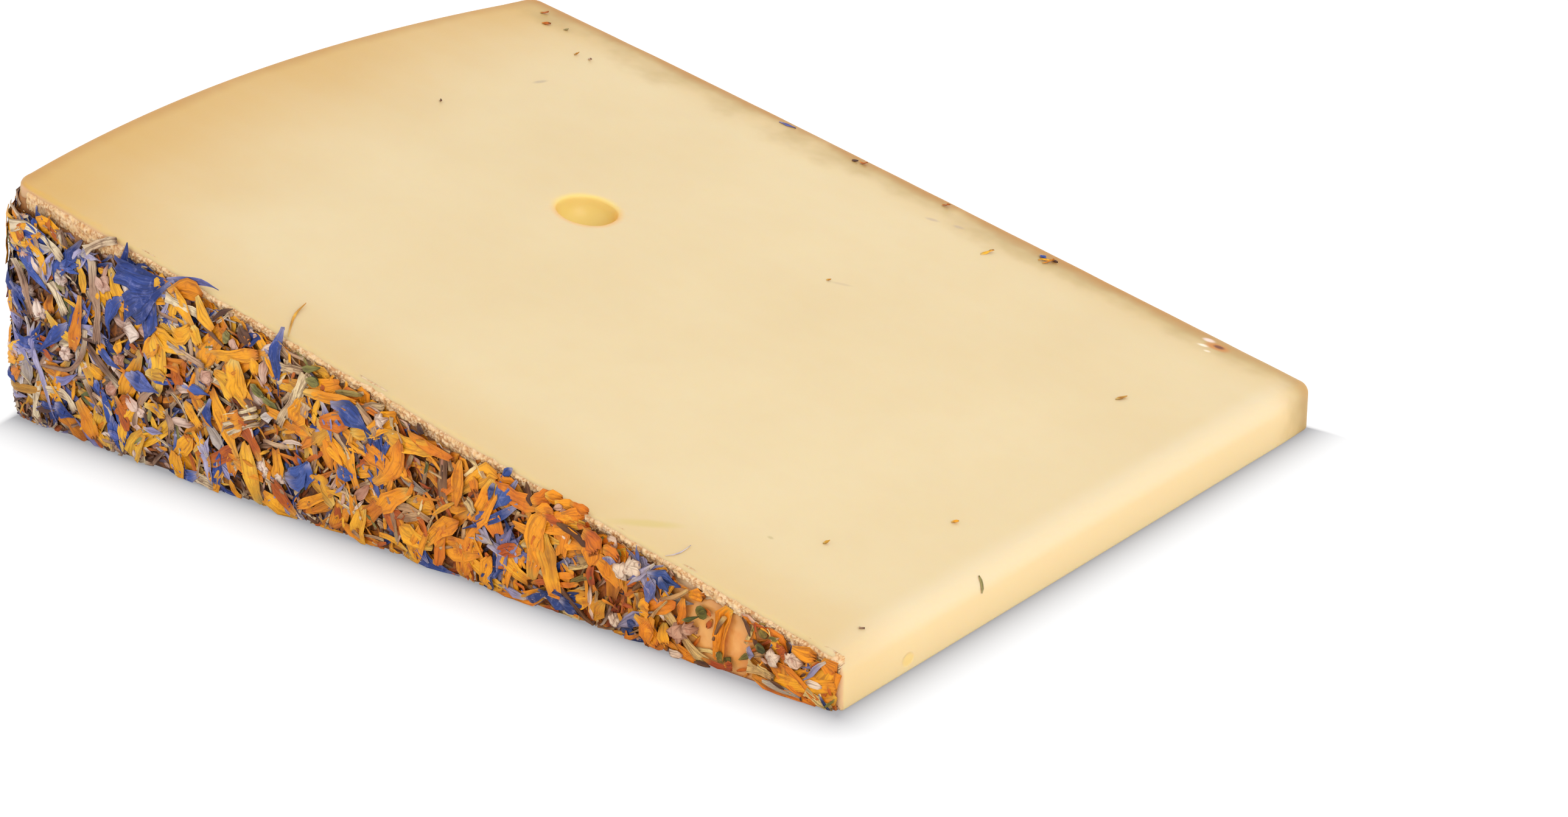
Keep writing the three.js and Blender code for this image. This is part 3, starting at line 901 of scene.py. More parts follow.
def ribbon(heap, pile, line, width, form, tint, draw, over):
    # form: outline, curl, thick, crinkle, crumple, crease, rise, twist, tooth and columns
    steps = len(line)
    t = np.linspace(0, 1, steps)
    half = width / 2 * np.maximum(outlines[form["outline"]](t), 0.08)
    a, b = line[:, 0].copy(), line[:, 1]
    if pile.face in petalLay["tipRims"]:
        a = np.maximum(a, tipFromAxis + petalLay["tipRims"][pile.face])
    margin = rimWidth(pile.face, a) - 0.2 if over is None else over
    b = np.clip(b, 0.2 + 0.3 * half, np.maximum(highestUp(pile.face, a, margin + 0.4 * half), 0.3))
    stepA, stepB = np.gradient(a), np.gradient(b)
    size = np.maximum(np.hypot(stepA, stepB), 1e-6)
    goA, goB = stepA / size, stepB / size
    sideA, sideB = goB, -goA
    spread = (-0.9, -0.45, 0, 0.45, 0.9)
    lie = np.maximum.reduce([pile.under(a + k * half * sideA, b + k * half * sideB) for k in spread])
    eased = lie.copy()
    for _ in range(2):
        eased[1:-1] = (eased[:-2] + 2 * eased[1:-1] + eased[2:]) / 4
    lie = np.maximum(0.5 * (lie + eased), eased)
    columns = form["columns"]
    u = np.linspace(-1, 1, columns)
    u = np.concatenate([u, u[1:-1][::-1]])
    outer = np.concatenate([np.ones(columns), -np.ones(columns - 2)])
    outer[[0, columns - 1]] = 0
    phase = draw.uniform(0, 6, 4)
    bow = form["curl"] * (0.7 + 0.3 * np.sin(3 * t + phase[3]))
    bow = np.where(np.abs(bow) < 0.05, 0.05, bow)[:, None]
    across = half[:, None] * np.sin(u * bow) / bow
    up = half[:, None] * (1 - np.cos(u * bow)) / bow
    fold = 0.45 * columns * np.pi * u + phase[0] + 1.5 * np.sin(5 * t[:, None] + phase[1])
    up = up + form["crinkle"] * half[:, None] * np.sin(fold) + form["crease"] * half[:, None] * np.abs(u)
    wrinkle = np.sin(2.2 * np.cumsum(size)[:, None] + 2.5 * u + phase[2])
    up = up + form["crumple"] * half[:, None] * wrinkle
    across = across + 0.16 * half[:, None] * np.sin(8 * t + phase[2])[:, None] * np.sign(u)
    spin = form["twist"] * (t - 0.4)[:, None]
    across, up = across * np.cos(spin) - up * np.sin(spin), across * np.sin(spin) + up * np.cos(spin)
    up = up - np.minimum(up.min(1), 0)[:, None] + form["rise"] * (t ** 3)[:, None]
    thick = form["thick"]
    level = lie + thick * 0.5
    limit = np.clip(pile.room(a, b) / petalLay["stands"][pile.face], 0.25, 1)[:, None]
    lift = pile.stand(a, b, level)[:, None] + up * limit + thick / 2 * (1 - 0.6 * u ** 2) * outer
    cap = 0.3 + 1.1 * pile.room(a, b)[:, None]
    lift = np.where(lift > 0, cap * np.tanh(lift / cap), lift)
    run = form["tooth"] * np.cos(3 * np.pi * u + phase[0]) * (t[:, None] > 0.99)
    pointsA = a[:, None] + sideA[:, None] * across + goA[:, None] * run
    pointsB = b[:, None] + sideB[:, None] * across + goB[:, None] * run
    if pile.face in ("rind", "back"):  # nothing goes past the upper cut
        pointsB = np.minimum(pointsB, highestUp(pile.face, pointsA, petalLay["bareTop"][pile.face]))
    if pile.face == "back":
        pointsA = np.maximum(pointsA, tipFromAxis + 1.5)
    points = onFace(pile.face, pointsA, pointsB, lift).reshape(-1, 3)
    points[:, 2] = np.maximum(points[:, 2], 0.03 + 0.04 * np.clip(lift.ravel(), 0, 3))
    ring = len(u)
    heap.put(
        points,
        tubeQuads(steps, ring),
        across=np.tile(u * width / 2, steps),
        along=np.repeat(np.cumsum(size), ring),
        share=np.repeat(t, ring),
        tint=tint,
        deep=howDeep(pile, a, b, pointsA, pointsB, lift).ravel(),
    )
    pile.cover(a, b, half * 0.7, level + thick * 0.5 + 0.12 * np.minimum(up.max(1), 0.8))


def floret(heap, pile, line, width, form, tint, draw, over):
    # a narrow tube that opens into pointed lobes
    split = int(len(line) * 0.6)
    tube = {**form, "outline": "tube", "curl": 1.2, "twist": 0, "rise": 0, "tooth": 0.0}
    ribbon(heap, pile, line[:split + 1], width * 0.75, tube, tint, draw, over)
    mouth, heading = line[split], line[-1] - line[split]
    reach = max(np.hypot(*heading), 1.5)
    facing = math.atan2(heading[1], heading[0])
    lobes = form["lobes"]
    for i in range(lobes):
        fan = facing + (i - (lobes - 1) / 2) * 1.7 / lobes + draw.uniform(-0.15, 0.15)
        length = reach * draw.uniform(0.75, 1.2)
        bend = fan + draw.uniform(-0.5, 0.5)
        path = [mouth - 0.2 * heading]
        path.append(mouth + 0.5 * length * np.array([math.cos(fan), math.sin(fan)]))
        path.append(path[1] + 0.5 * length * np.array([math.cos(bend), math.sin(bend)]))
        lobe = {**form, "outline": "lobe", "curl": draw.uniform(0.4, 1.5), "rise": draw.uniform(0.0, 0.5)}
        ribbon(heap, pile, easeLine(path, 6), width * draw.uniform(0.3, 0.45), lobe, tint, draw, over)


def bud(heap, pile, place, width, form, tint, draw, over):
    # short cupped scales round one point
    start = draw.uniform(0, 2 * np.pi)
    for i in range(form["lobes"]):
        turn = start + i * 2 * np.pi / form["lobes"] + draw.uniform(-0.3, 0.3)
        way = np.array([math.cos(turn), math.sin(turn)])
        path = [place + way * width * 0.5, place + way * width * 0.12, place - way * width * 0.2]
        scale = {**form, "outline": "leaf", "curl": -draw.uniform(0.8, 1.4), "rise": draw.uniform(0.1, 0.5)}
        ribbon(heap, pile, easeLine(path, 5), width * draw.uniform(0.45, 0.7), scale, tint, draw, over)


# Every kind of petal and bit: its heap, how it is shaped, its tint along that heap's colours, its share
# of the scattered ones, its length and width in millimetres, how far it curls and how thick it is
kindKeys = ("heap", "make", "tint", "share", "length", "width", "curl", "thick")
kindRows = {
    "blueFlower": ("bluePetals", "floret", (0.1, 0.6), 60, (7, 10), (2.2, 3.2), 1.0, 0.16),
    "blue": ("bluePetals", "lobe", (0.1, 0.6), 68, (4, 7), (1.1, 2.0), 1.2, 0.16),
    "wideBlue": ("bluePetals", "tube", (0.2, 0.36), 0, (8, 9), (4, 5), 0.8, 0.16),
    "deepBlue": ("bluePetals", "lobe", (0.0, 0.2), 20, (4, 7), (0.8, 1.6), 1.2, 0.16),
    "violet": ("bluePetals", "lobe", (0.65, 1.0), 50, (4, 8), (0.9, 1.8), 1.2, 0.16),
    "lilacFlower": ("fadedPetals", "floret", (0.0, 0.6), 45, (6, 9), (2, 3), 1.0, 0.16),
    "lilac": ("fadedPetals", "lobe", (0.0, 0.4), 60, (4, 8), (0.9, 1.8), 1.2, 0.15),
    "greyPetal": ("fadedPetals", "lobe", (0.6, 1.0), 55, (4, 7), (1.0, 2.0), 0.9, 0.15),
    "orange": ("orangePetals", "strap", (0.35, 1.0), 150, (4, 8.5), (1.3, 2.6), 0.7, 0.16),
    "deepOrange": ("orangePetals", "strap", (0.0, 0.25), 40, (3, 6), (0.9, 2.0), 0.8, 0.16),
    "yellow": ("yellowPetals", "strap", (0.1, 0.8), 125, (4, 8.5), (1.3, 2.6), 0.7, 0.16),
    "ochre": ("yellowPetals", "leaf", (0.8, 1.0), 15, (3, 5), (1.5, 2.2), 0.5, 0.2),
    "straw": ("strawBits", "strip", (0.2, 0.8), 130, (4, 9), (0.7, 2.0), 0.7, 0.25),
    "stalk": ("strawBits", "thread", (0.0, 0.5), 30, (4, 9), (0.5, 1.0), 2.0, 0.5),
    "cream": ("strawBits", "strip", (0.85, 1.0), 35, (4, 8), (0.9, 1.8), 0.9, 0.2),
    "thread": ("strawBits", "thread", (0.2, 1.0), 15, (4, 9), (0.3, 0.5), 2.0, 0.3),
    "leaf": ("leafBits", "leaf", (0.0, 1.0), 45, (3, 6), (0.9, 2.0), 0.8, 0.16),
    "bud": ("blossoms", "bud", (0.0, 1.0), 45, (2, 3), (1.8, 3.0), 1.0, 0.2),
    "pink": ("blossoms", "leaf", (0.0, 0.7), 60, (2, 4), (1.0, 2.0), 1.2, 0.16),
    "dark": ("darkBits", "leaf", (0.0, 1.0), 20, (2, 5), (0.6, 1.4), 1.2, 0.25),
}
petalKinds = {name: dict(zip(kindKeys, row)) for name, row in kindRows.items()}
bitShares = {"straw": 24, "cream": 20, "pink": 20, "lilac": 12, "blue": 8, "violet": 5, "orange": 15,
             "deepOrange": 6, "yellow": 10, "leaf": 4, "dark": 3}


def layPetal(name, pile, path, width, draw, columns=5, over=None):
    kind = petalKinds[name]
    heap, make = heaps[kind["heap"]], kind["make"]
    tint = draw.uniform(*kind["tint"])
    form = {
        "outline": make,
        "curl": kind["curl"] * draw.uniform(0.1, 1.0) * draw.choice([-1, 1, 1]),
        "thick": kind["thick"] * 0.8,
        "crinkle": 0.1,
        "crumple": 0.13,
        "crease": draw.uniform(-0.2, 0.45) * (columns > 4),
        "rise": draw.uniform(0, 0.4),
        "twist": draw.uniform(-0.45, 0.45),
        "tooth": 0.25 if make in ("strap", "strip") else 0.0,
        "columns": columns,
        "lobes": 5,
    }
    path = np.asarray(path, float)
    if make == "bud":
        bud(heap, pile, path.mean(0), width, form, tint, draw, over)
        return
    if make == "tube":
        form.update(curl=0.8, crease=0.0, crinkle=0.26, twist=0.0, rise=0.0)
    if len(path) == 1:
        way = draw.uniform(0, 2 * np.pi)
        step = np.array([math.cos(way), math.sin(way)]) * width * 0.7
        path = np.array([path[0] - step, path[0] + step])
    length = np.hypot(*np.diff(path, axis=0).T).sum()
    spacing = 0.75 if columns > 5 else 1.1
    steps = int(np.clip(length / spacing, 5, 13 if columns > 5 else 9))
    if make == "floret":
        form["lobes"] = 5 if columns > 5 else 4
        floret(heap, pile, easeLine(path, steps + 3), width, form, tint, draw, over)
        return
    if make == "thread":
        form.update(thick=width * 0.8, rise=0, twist=0)
    ribbon(heap, pile, easeLine(path, steps), width, form, tint, draw, over)


# share among the finest scraps, and how much more of it there is where the crust is warmer
fineShares = {"straw": (22, 0), "cream": (16, 0), "pink": (14, 0), "lilac": (12, 0), "deepOrange": (12, 1.2),
              "orange": (12, 1.2), "yellow": (8, 1), "blue": (5, 0), "leaf": (5, 0.5), "dark": (6, 0.5)}

scatter = {
    "petals": {"front": 440, "back": 520, "rind": 640},
    "bits": {"front": 2200, "back": 1200, "rind": 1400},
    "bitLength": (1.2, 4.5),
    "bitWidth": (0.25, 0.85),
    "warmth": 3.6,  # how much more orange and yellow there is towards the thin end
    "fine": {"front": 1300, "back": 500, "rind": 500},
    "fineLength": (0.8, 2.2),
    "fineWidth": (0.2, 0.55),
    "fineByTip": (0.12, 36),  # share of the fine ones laid within so far of the thin end
    "bitsFirst": 0.45,  # share of the bits that lie under everything
}


def facePlace(face, draw, margin):
    up = draw.uniform(0, 1)
    if face == "rind":
        a = draw.uniform(0.8, rindLength + 1)
    else:
        near, far = tipFromAxis + 1.0, wheel["radius"] + 1
        a = math.sqrt(near ** 2 + draw.uniform(0, 1) * (far ** 2 - near ** 2))
    margin = margin * float(rimWidth(face, np.float64(a)))
    return a, 0.2 + up * (float(highestUp(face, np.float64(a), margin)) - 0.2)


def warmthAt(face, a):
    if face != "front":
        return 0.0
    return scatter["warmth"] * float(smooth((110 - a + tipFromAxis) / 75))


def fineBits(face, seed):  # small scraps in the gaps that the others leave
    draw = np.random.default_rng(seed)
    names = list(fineShares)
    for _ in range(scatter["fine"][face]):
        a, b = facePlace(face, draw, 0.9)
        byTip, reach = scatter["fineByTip"]
        a = a if draw.uniform() > byTip else tipFromAxis + draw.uniform(0.5, reach)
        b = min(b, float(highestUp(face, np.float64(a), 1.0)))
        low = piles[face].under(np.float64(a), np.float64(b)) < draw.uniform(0.5, 1.3) * 0.75
        bare = float(bareShare(face, np.float64(a), np.float64(b)))
        if not low or draw.uniform() < 0.96 * bare:
            continue
        warmth = warmthAt(face, a)
        weights = np.array([share * (1 + warmth * warm) for share, warm in fineShares.values()])
        name = names[draw.choice(len(names), p=weights / weights.sum())]
        way, half = draw.uniform(0, 2 * np.pi), draw.uniform(*scatter["fineLength"]) / 2
        step = np.array([math.cos(way), math.sin(way)]) * half
        middle = np.array([a, b])
        width = draw.uniform(*scatter["fineWidth"])
        layPetal(name, piles[face], [middle - step, middle + step], width, draw, columns=4)


def scatterOn(face, seed):
    draw = np.random.default_rng(seed)
    pile = piles[face]
    names, bitNames = list(petalKinds), list(bitShares)
    shares = np.array([petalKinds[name]["share"] for name in names], float)
    smallShares = np.array([bitShares[name] for name in bitNames], float)
    bits = scatter["bits"][face]
    first = int(bits * scatter["bitsFirst"])
    warm = [np.array([petalKinds[name]["heap"] in ("orangePetals", "yellowPetals") for name in group], float)
            for group in (names, bitNames)]
    rest = draw.permutation(np.repeat([False, True], [scatter["petals"][face], bits - first]))
    for small in np.concatenate([np.ones(first, bool), rest]):
        a, b = facePlace(face, draw, 0.8 if small else 1.0)
        if draw.uniform() < 0.97 * float(bareShare(face, np.float64(a), np.float64(b))):
            continue
        warmth = warmthAt(face, a)
        weights = smallShares * (1 + warmth * warm[1]) if small else shares * (1 + warmth * warm[0])
        if small:
            name = bitNames[draw.choice(len(bitNames), p=weights / weights.sum())]
            length, width = draw.uniform(*scatter["bitLength"]), draw.uniform(*scatter["bitWidth"])
        else:
            name = names[draw.choice(len(names), p=weights / weights.sum())]
            kind = petalKinds[name]
            length, width = draw.uniform(*kind["length"]), draw.uniform(*kind["width"])
        way = draw.uniform(0, 2 * np.pi)
        bend = draw.uniform(-0.7, 0.7)
        head = np.array([math.cos(way), math.sin(way)]) * length / 2
        tail = np.array([math.cos(way + bend), math.sin(way + bend)]) * length / 2
        middle = np.array([a, b])
        layPetal(name, pile, [middle - head, middle, middle + tail], width, draw, columns=4 if small else 5)
    pile.settle()


for number, face in enumerate(("front", "back", "rind")):
    scatterOn(face, 40 + number)
    print("crust laid on the", face)


# The uppermost petals of the front, laid one by one: kind, width, and points by distance from the thin
# end and height above the table
frontPetals = [
    ("greyPetal", 2.2, (119, 9.5), (118.5, 7.5), (119, 5)),
    ("lilac", 1.3, (118.5, 14), (118, 11.5), (117, 8.5), (116, 5.5), (114.5, 1.5)),
    ("lilac", 1.2, (121.5, 12.5), (119.5, 10), (118, 8)),
    ("lilac", 1.0, (117.5, 13.5), (117.5, 11.5), (117.5, 9)),
    ("cream", 1.5, (119.5, 25), (117, 26), (115, 25.5), (113.5, 24.5), (111, 23)),
    ("blue", 1.2, (116, 28), (115, 27.5), (114, 27)), ("deepOrange", 0.9, (113.5, 27.5), (113, 26)),
    ("orange", 1.3, (120, 27), (121, 22.5), (121.5, 19.5)), ("deepOrange", 1.5, (118.5, 25), (117.5, 24)),
    ("yellow", 1.2, (119.5, 23), (116, 23.5), (114.5, 22.5), (114, 20.5)),
    ("cream", 1.8, (113.5, 19.5), (112.5, 17.5), (111.5, 16)),
    ("straw", 1.5, (119.5, 21), (118.5, 19), (117.5, 16.5), (117, 14.5)),
    ("blue", 1.3, (118.5, 21.5), (116, 19.5), (113.5, 18)), ("bud", 2.3, (111.5, 20.5)),
    ("blue", 1.8, (108.5, 25.5), (109.5, 23.5), (110.5, 22)),
    ("yellow", 1.4, (108.5, 23.5), (108.5, 21.5), (108, 19.5)),
    ("straw", 1.8, (106, 24), (106, 21), (105.5, 18), (106, 14)), ("bud", 2.6, (104.5, 21.5)),
    ("cream", 1.3, (107, 25), (105, 26.2), (102.8, 26.8)),
    ("violet", 0.7, (122, 20.5), (122.5, 18), (123.5, 15)), ("orange", 1.8, (114.5, 17.5), (114, 15.5)),
    ("yellow", 1.4, (115, 15.5), (113.5, 13.5), (109.5, 13)),
    ("orange", 1.7, (108.5, 19), (109, 16), (110.5, 12)), ("blue", 1.8, (111, 15), (113.5, 13), (116.5, 10)),
    ("bud", 2.2, (112, 11)), ("stalk", 0.8, (108, 15), (108.5, 12), (111, 9), (116, 8.5)),
    ("orange", 1.8, (108, 10.5), (106, 9.5)), ("lilac", 1.3, (115.5, 7.5), (113, 7), (110, 9)),
    ("orange", 1.4, (123, 7), (120.5, 8.5)), ("blue", 1.6, (122, 6.5), (121, 5)),
    ("ochre", 1.3, (123, 4.5), (120, 4.5), (117, 5)), ("lilac", 1.1, (123.5, 3), (119.5, 3.5)),
    ("cream", 1.5, (115.5, 5.5), (113.5, 6), (111.5, 5), (111, 4)), ("blue", 2.2, (114.5, 4), (111.5, 3)),
    ("orange", 2.6, (110.5, 5.5), (109, 4), (108, 1.5)), ("straw", 1.2, (109, 8.5), (107.5, 6), (106.5, 5)),
    ("blue", 1.4, (107, 9), (106.5, 7.5)), ("bud", 2.2, (104.5, 8.5)),
    ("violet", 2.6, (102, 11), (99.5, 10.5), (96.5, 10)), ("blue", 1.6, (101, 11.5), (99, 11), (99, 10)),
    ("ochre", 1.8, (98.5, 12), (95, 12.5)), ("deepOrange", 1.8, (93.5, 14.5), (93, 12)),
    ("violet", 1.3, (92.5, 12), (89.5, 12), (88, 12)), ("straw", 1.3, (94.5, 16.5), (92, 16), (88.5, 15.5)),
    ("yellow", 1.3, (95, 19.5), (96, 16.5), (95.5, 15)),
    ("yellow", 1.9, (94, 19), (92.5, 17.5), (90.5, 19.5)), ("yellow", 1.8, (90, 20), (89, 18)),
    ("orange", 2.4, (93.5, 23), (90.5, 24.5), (89, 23.5)), ("cream", 1.4, (94, 22.5), (92, 22), (89, 21.5)),
    ("stalk", 0.6, (89.5, 21.5), (87.5, 20), (85.5, 18.5)),
    ("yellow", 1.9, (89.5, 23.5), (88.5, 22), (86.5, 20.5)),
    ("dark", 0.6, (84.5, 23), (86, 22.5), (86.5, 21.5)), ("leaf", 2.0, (85.5, 20), (84.5, 19.5)),
    ("pink", 1.5, (84, 18.5), (83.5, 20)), ("dark", 2.0, (83, 21.5), (82, 20.5), (81, 20.5)),
    ("orange", 1.5, (88.5, 17), (85, 17.5), (80, 19)), ("orange", 1.6, (81, 18.5), (80.5, 16.5)),
    ("yellow", 3.2, (83.5, 17.5), (83.5, 15.5), (83.5, 13)), ("yellow", 1.2, (86.5, 14.5), (84.5, 12.5)),
    ("pink", 1.6, (79, 18.5), (79.5, 15.5)),
    ("blue", 1.7, (76.5, 23.5), (77.5, 20), (77, 17.5), (77.5, 14.5)),
    ("straw", 1.3, (76.5, 18.5), (73.5, 18.5)), ("cream", 1.6, (72, 18.5), (74, 16), (76, 13.5), (77, 11.5)),
    ("leaf", 1.2, (72.5, 18), (70.5, 18)), ("blue", 1.5, (92, 13.5), (91, 13)), ("bud", 2.2, (88.5, 14)),
    ("leaf", 1.3, (81.5, 15), (79.5, 14)), ("dark", 1.0, (82.5, 13), (80, 12.5)),
    ("leaf", 1.0, (80, 14), (77.5, 13)), ("dark", 1.3, (79.5, 13), (79.5, 10.5)),
    ("greyPetal", 1.3, (80, 11.5), (78, 12)), ("yellow", 1.5, (99, 8), (96, 7.5)),
    ("orange", 1.6, (92.5, 10), (91, 8.5), (90, 7.5)), ("blue", 1.6, (88, 11.5), (89, 9), (88, 8)),
    ("deepOrange", 1.5, (103.5, 8), (102.5, 5.5), (102, 4)), ("pink", 2.0, (102, 8.5), (100, 7)),
    ("leaf", 0.8, (98.5, 7.5), (98.5, 6)), ("cream", 0.6, (86, 10), (83.5, 11), (80.5, 12.5)),
    ("dark", 0.4, (86, 9.5), (83, 11), (80.5, 12)), ("cream", 0.7, (86, 9), (83, 10.5), (80.5, 11.5)),
    ("dark", 0.4, (86, 8.5), (83, 10), (80.5, 11)), ("cream", 0.7, (85.5, 8), (83, 9.5), (80.5, 10.5)),
    ("lilac", 1.2, (99.5, 5), (96.5, 5)), ("straw", 1.4, (96, 8), (94.5, 6)),
    ("violet", 1.3, (105.5, 3), (103, 2.5)), ("blue", 1.6, (107, 13.5), (104.5, 12), (102.5, 11.5)),
    ("blue", 1.9, (100, 21), (103, 19.5), (104.5, 17), (104.5, 14)),
    ("blue", 2.7, (96, 22.5), (96.5, 20.5), (97, 18), (98.5, 15.5)),
    ("blue", 1.9, (98, 22), (100, 20), (101.5, 17.5)), ("blue", 1.4, (101, 23.5), (101, 25.5), (101, 27)),
    ("wideBlue", 4.4, (91, 25), (94.5, 24), (98, 23.5), (102, 24)),
    ("wideBlue", 3.8, (93, 24.5), (96, 22), (100, 19.5)),
    ("violet", 1.1, (94, 24.5), (91, 25), (86.5, 25.5)), ("pink", 2.4, (102, 16.5), (99, 16.5)),
    ("orange", 1.6, (103.5, 15), (102.5, 13.5)), ("cream", 1.5, (72.5, 18.5), (74, 16), (75.5, 12.5)),
    ("leaf", 1.3, (72.5, 18), (70.5, 18)), ("leaf", 0.8, (73.5, 19), (71, 19.5)),
    ("leaf", 0.8, (68.5, 17.5), (66, 18), (64.5, 18)), ("yellow", 1.6, (73, 16.5), (69.5, 16.5), (65, 17)),
    ("straw", 1.4, (65, 17), (63.5, 16), (62, 14)),
    ("blue", 3.0, (69, 16), (66.5, 16), (64.5, 15), (63, 14)), ("blue", 1.2, (68.5, 14.5), (67.5, 12.5)),
    ("lilac", 1.5, (70.5, 16), (69.5, 14), (69, 11.5)), ("orange", 2.6, (73, 15.5), (74.5, 12.5)),
    ("orange", 1.0, (71.5, 11.5), (74, 9.5)), ("straw", 1.6, (72.5, 15), (73, 13.5)),
    ("lilac", 1.3, (72, 12), (70, 12)), ("bud", 2.0, (61.5, 16)), ("blue", 3.2, (77, 5), (75, 5), (73, 8)),
    ("blue", 2.4, (73, 8), (73.5, 4.5)), ("orange", 1.2, (69, 5.5), (75, 2)),
    ("dark", 1.0, (57, 16.5), (55.5, 16)), ("orange", 1.4, (48.5, 13), (48, 11.5)),
    ("blue", 1.6, (44.5, 14.5), (44, 12.5), (45.5, 10)), ("blue", 1.0, (43.5, 15), (44.5, 14)),
    ("blue", 1.5, (42.5, 14), (43.5, 12), (45.5, 10)),
    ("blue", 1.5, (42, 11.5), (44.5, 9.5), (48, 7.5), (50, 6.5)), ("blue", 1.2, (45.5, 13), (46, 11)),
    ("violet", 1.2, (49.5, 8), (46.5, 9.5)), ("cream", 1.6, (49.5, 10), (48, 9)),
    ("dark", 1.2, (41.5, 14), (41, 13.5), (40, 12)), ("orange", 1.8, (40, 12.5), (38, 13.5)),
    ("yellow", 1.6, (38.5, 13.5), (36.5, 13.5)), ("orange", 2, (39.5, 11.5), (37, 12)),
    ("yellow", 1.8, (37, 13), (34.5, 13)), ("orange", 1.6, (36, 12), (33.5, 12.5)),
    ("orange", 1.4, (35, 13.5), (33, 13)), ("deepOrange", 1, (38.5, 11.5), (36, 11)),
    ("pink", 0.8, (37, 12.5), (36, 13)), ("orange", 2.4, (32.5, 11.5), (32, 10), (31.5, 9)),
    ("dark", 1.2, (36.5, 11), (34, 10.5), (32, 9)), ("leaf", 0.8, (31.5, 9), (30.5, 11)),
    ("bud", 2.0, (28.5, 9)), ("orange", 2.8, (33, 11), (31.5, 10.5), (31, 9.5)),
    ("pink", 1.8, (30, 11), (28.5, 10.5)), ("orange", 2.0, (30, 10), (29, 10), (28, 9.5)),
    ("leaf", 1.0, (28, 10.5), (28, 9.5)), ("lilac", 2.0, (29, 9.5), (29, 8.5)), ("bud", 2.6, (27.5, 8)),
    ("bud", 2.6, (26, 9)), ("deepOrange", 1.2, (26.5, 7.5), (26, 7)),
    ("violet", 0.7, (26.5, 11), (25.5, 10.5), (25, 9.5)),
    ("violet", 0.6, (22.5, 10), (23.5, 9.8), (25, 9), (26.5, 7.5)),
    ("lilac", 1.0, (23.5, 10), (25, 8.5), (26.5, 7)), ("blue", 2.4, (24, 9), (22.5, 9), (20.5, 8)),
    ("blue", 1.6, (22.5, 9), (21.5, 7.5)), ("violet", 1.8, (23, 8.5), (24, 7), (24.5, 5)),
    ("thread", 0.5, (19.5, 8), (20.5, 7), (22.5, 6.5)),
    ("thread", 0.5, (21.5, 6.5), (23.5, 4.5), (24.5, 2.5), (27, 1)), ("straw", 0.8, (26, 6), (25.5, 4.5)),
    ("orange", 1.2, (20, 7), (20, 5), (20.5, 4)), ("yellow", 2.6, (25.5, 4.5), (24, 4.5)),
    ("orange", 2, (25.5, 3), (24, 2), (23, 1)), ("yellow", 1.4, (26, 3.5), (24.5, 3), (23.5, 2.5)),
    ("orange", 1.8, (23.5, 4), (24.5, 2), (24.5, 0.5)), ("yellow", 1.6, (22.5, 3.5), (22, 1.5)),
    ("deepBlue", 1.8, (27.5, 2), (26, 2.5)), ("bud", 2.4, (20.5, 3)), ("bud", 1.8, (19, 4)),
    ("pink", 1.6, (21, 0)), ("orange", 1.4, (19.5, 7.5), (17.5, 8)), ("leaf", 1.6, (18.5, 5.5), (17, 6.5)),
    ("leaf", 0.5, (19.5, 5), (18, 5.5)), ("deepOrange", 0.6, (16.5, 5.5), (17, 4.5)),
    ("stalk", 0.6, (14.5, 6.5), (15.5, 5), (16, 3.5)), ("leaf", 1.2, (15.5, 1), (15, 2.5)),
    ("leaf", 1.0, (14.5, 1), (14, 2)), ("leaf", 0.8, (18.5, 0), (17.5, -0.5)),
    ("deepOrange", 0.7, (17.5, 1), (15.5, 0.5), (13.5, 1)), ("deepOrange", 0.9, (14.5, 1), (13.5, 1.5)),
    ("dark", 0.8, (18.5, 0), (16.5, -0.5)), ("leaf", 1.2, (10, 6.5), (9.5, 5.5)),
    ("dark", 0.8, (11, 5), (10, 4.5)), ("leaf", 1.2, (10.5, 4.5), (9, 4.5)),
    ("leaf", 0.6, (13, 2), (11, 3.5)), ("lilac", 1.6, (12, 3.5), (10.5, 3.5)),
    ("dark", 0.6, (12.5, 7), (11.5, 6.5), (11, 5.5)), ("yellow", 1.6, (8.5, 5.5), (7, 5.5)),
    ("deepOrange", 1.8, (7.5, 4.5), (6.5, 5.5)), ("bud", 2.2, (8, 4)), ("bud", 2.2, (5.5, 4.5)),
    ("orange", 1.8, (5.5, 6), (3, 5.5)), ("deepOrange", 1.6, (3, 5), (2.5, 4.5)),
    ("orange", 2.2, (2, 5.5), (0.5, 4.5)), ("lilac", 0.8, (1.5, 5.5), (3, 4.5), (3, 3.5), (4.5, 2.5)),
    ("yellow", 1.7, (11, 1), (8, 1.5), (4, 2), (0.5, 3)), ("orange", 1.4, (11, 1), (8, 0.5), (4, 0.5)),
    ("straw", 1.4, (11.5, 2), (10, 2), (8, 2)), ("cream", 0.9, (10, 2.5), (8, 2)),
    ("greyPetal", 1.1, (9.5, 1), (7.5, 1), (4.5, 0.5)), ("dark", 0.5, (8.5, 1.5), (6.5, 1)),
    ("cream", 1.4, (4, 1.5), (3, 1), (1, 0)), ("deepBlue", 0.6, (2.5, 1.5), (1.5, 0.5), (1, -0.5)),
    ("pink", 1.0, (4, 2.5), (2, 2.5)),
]

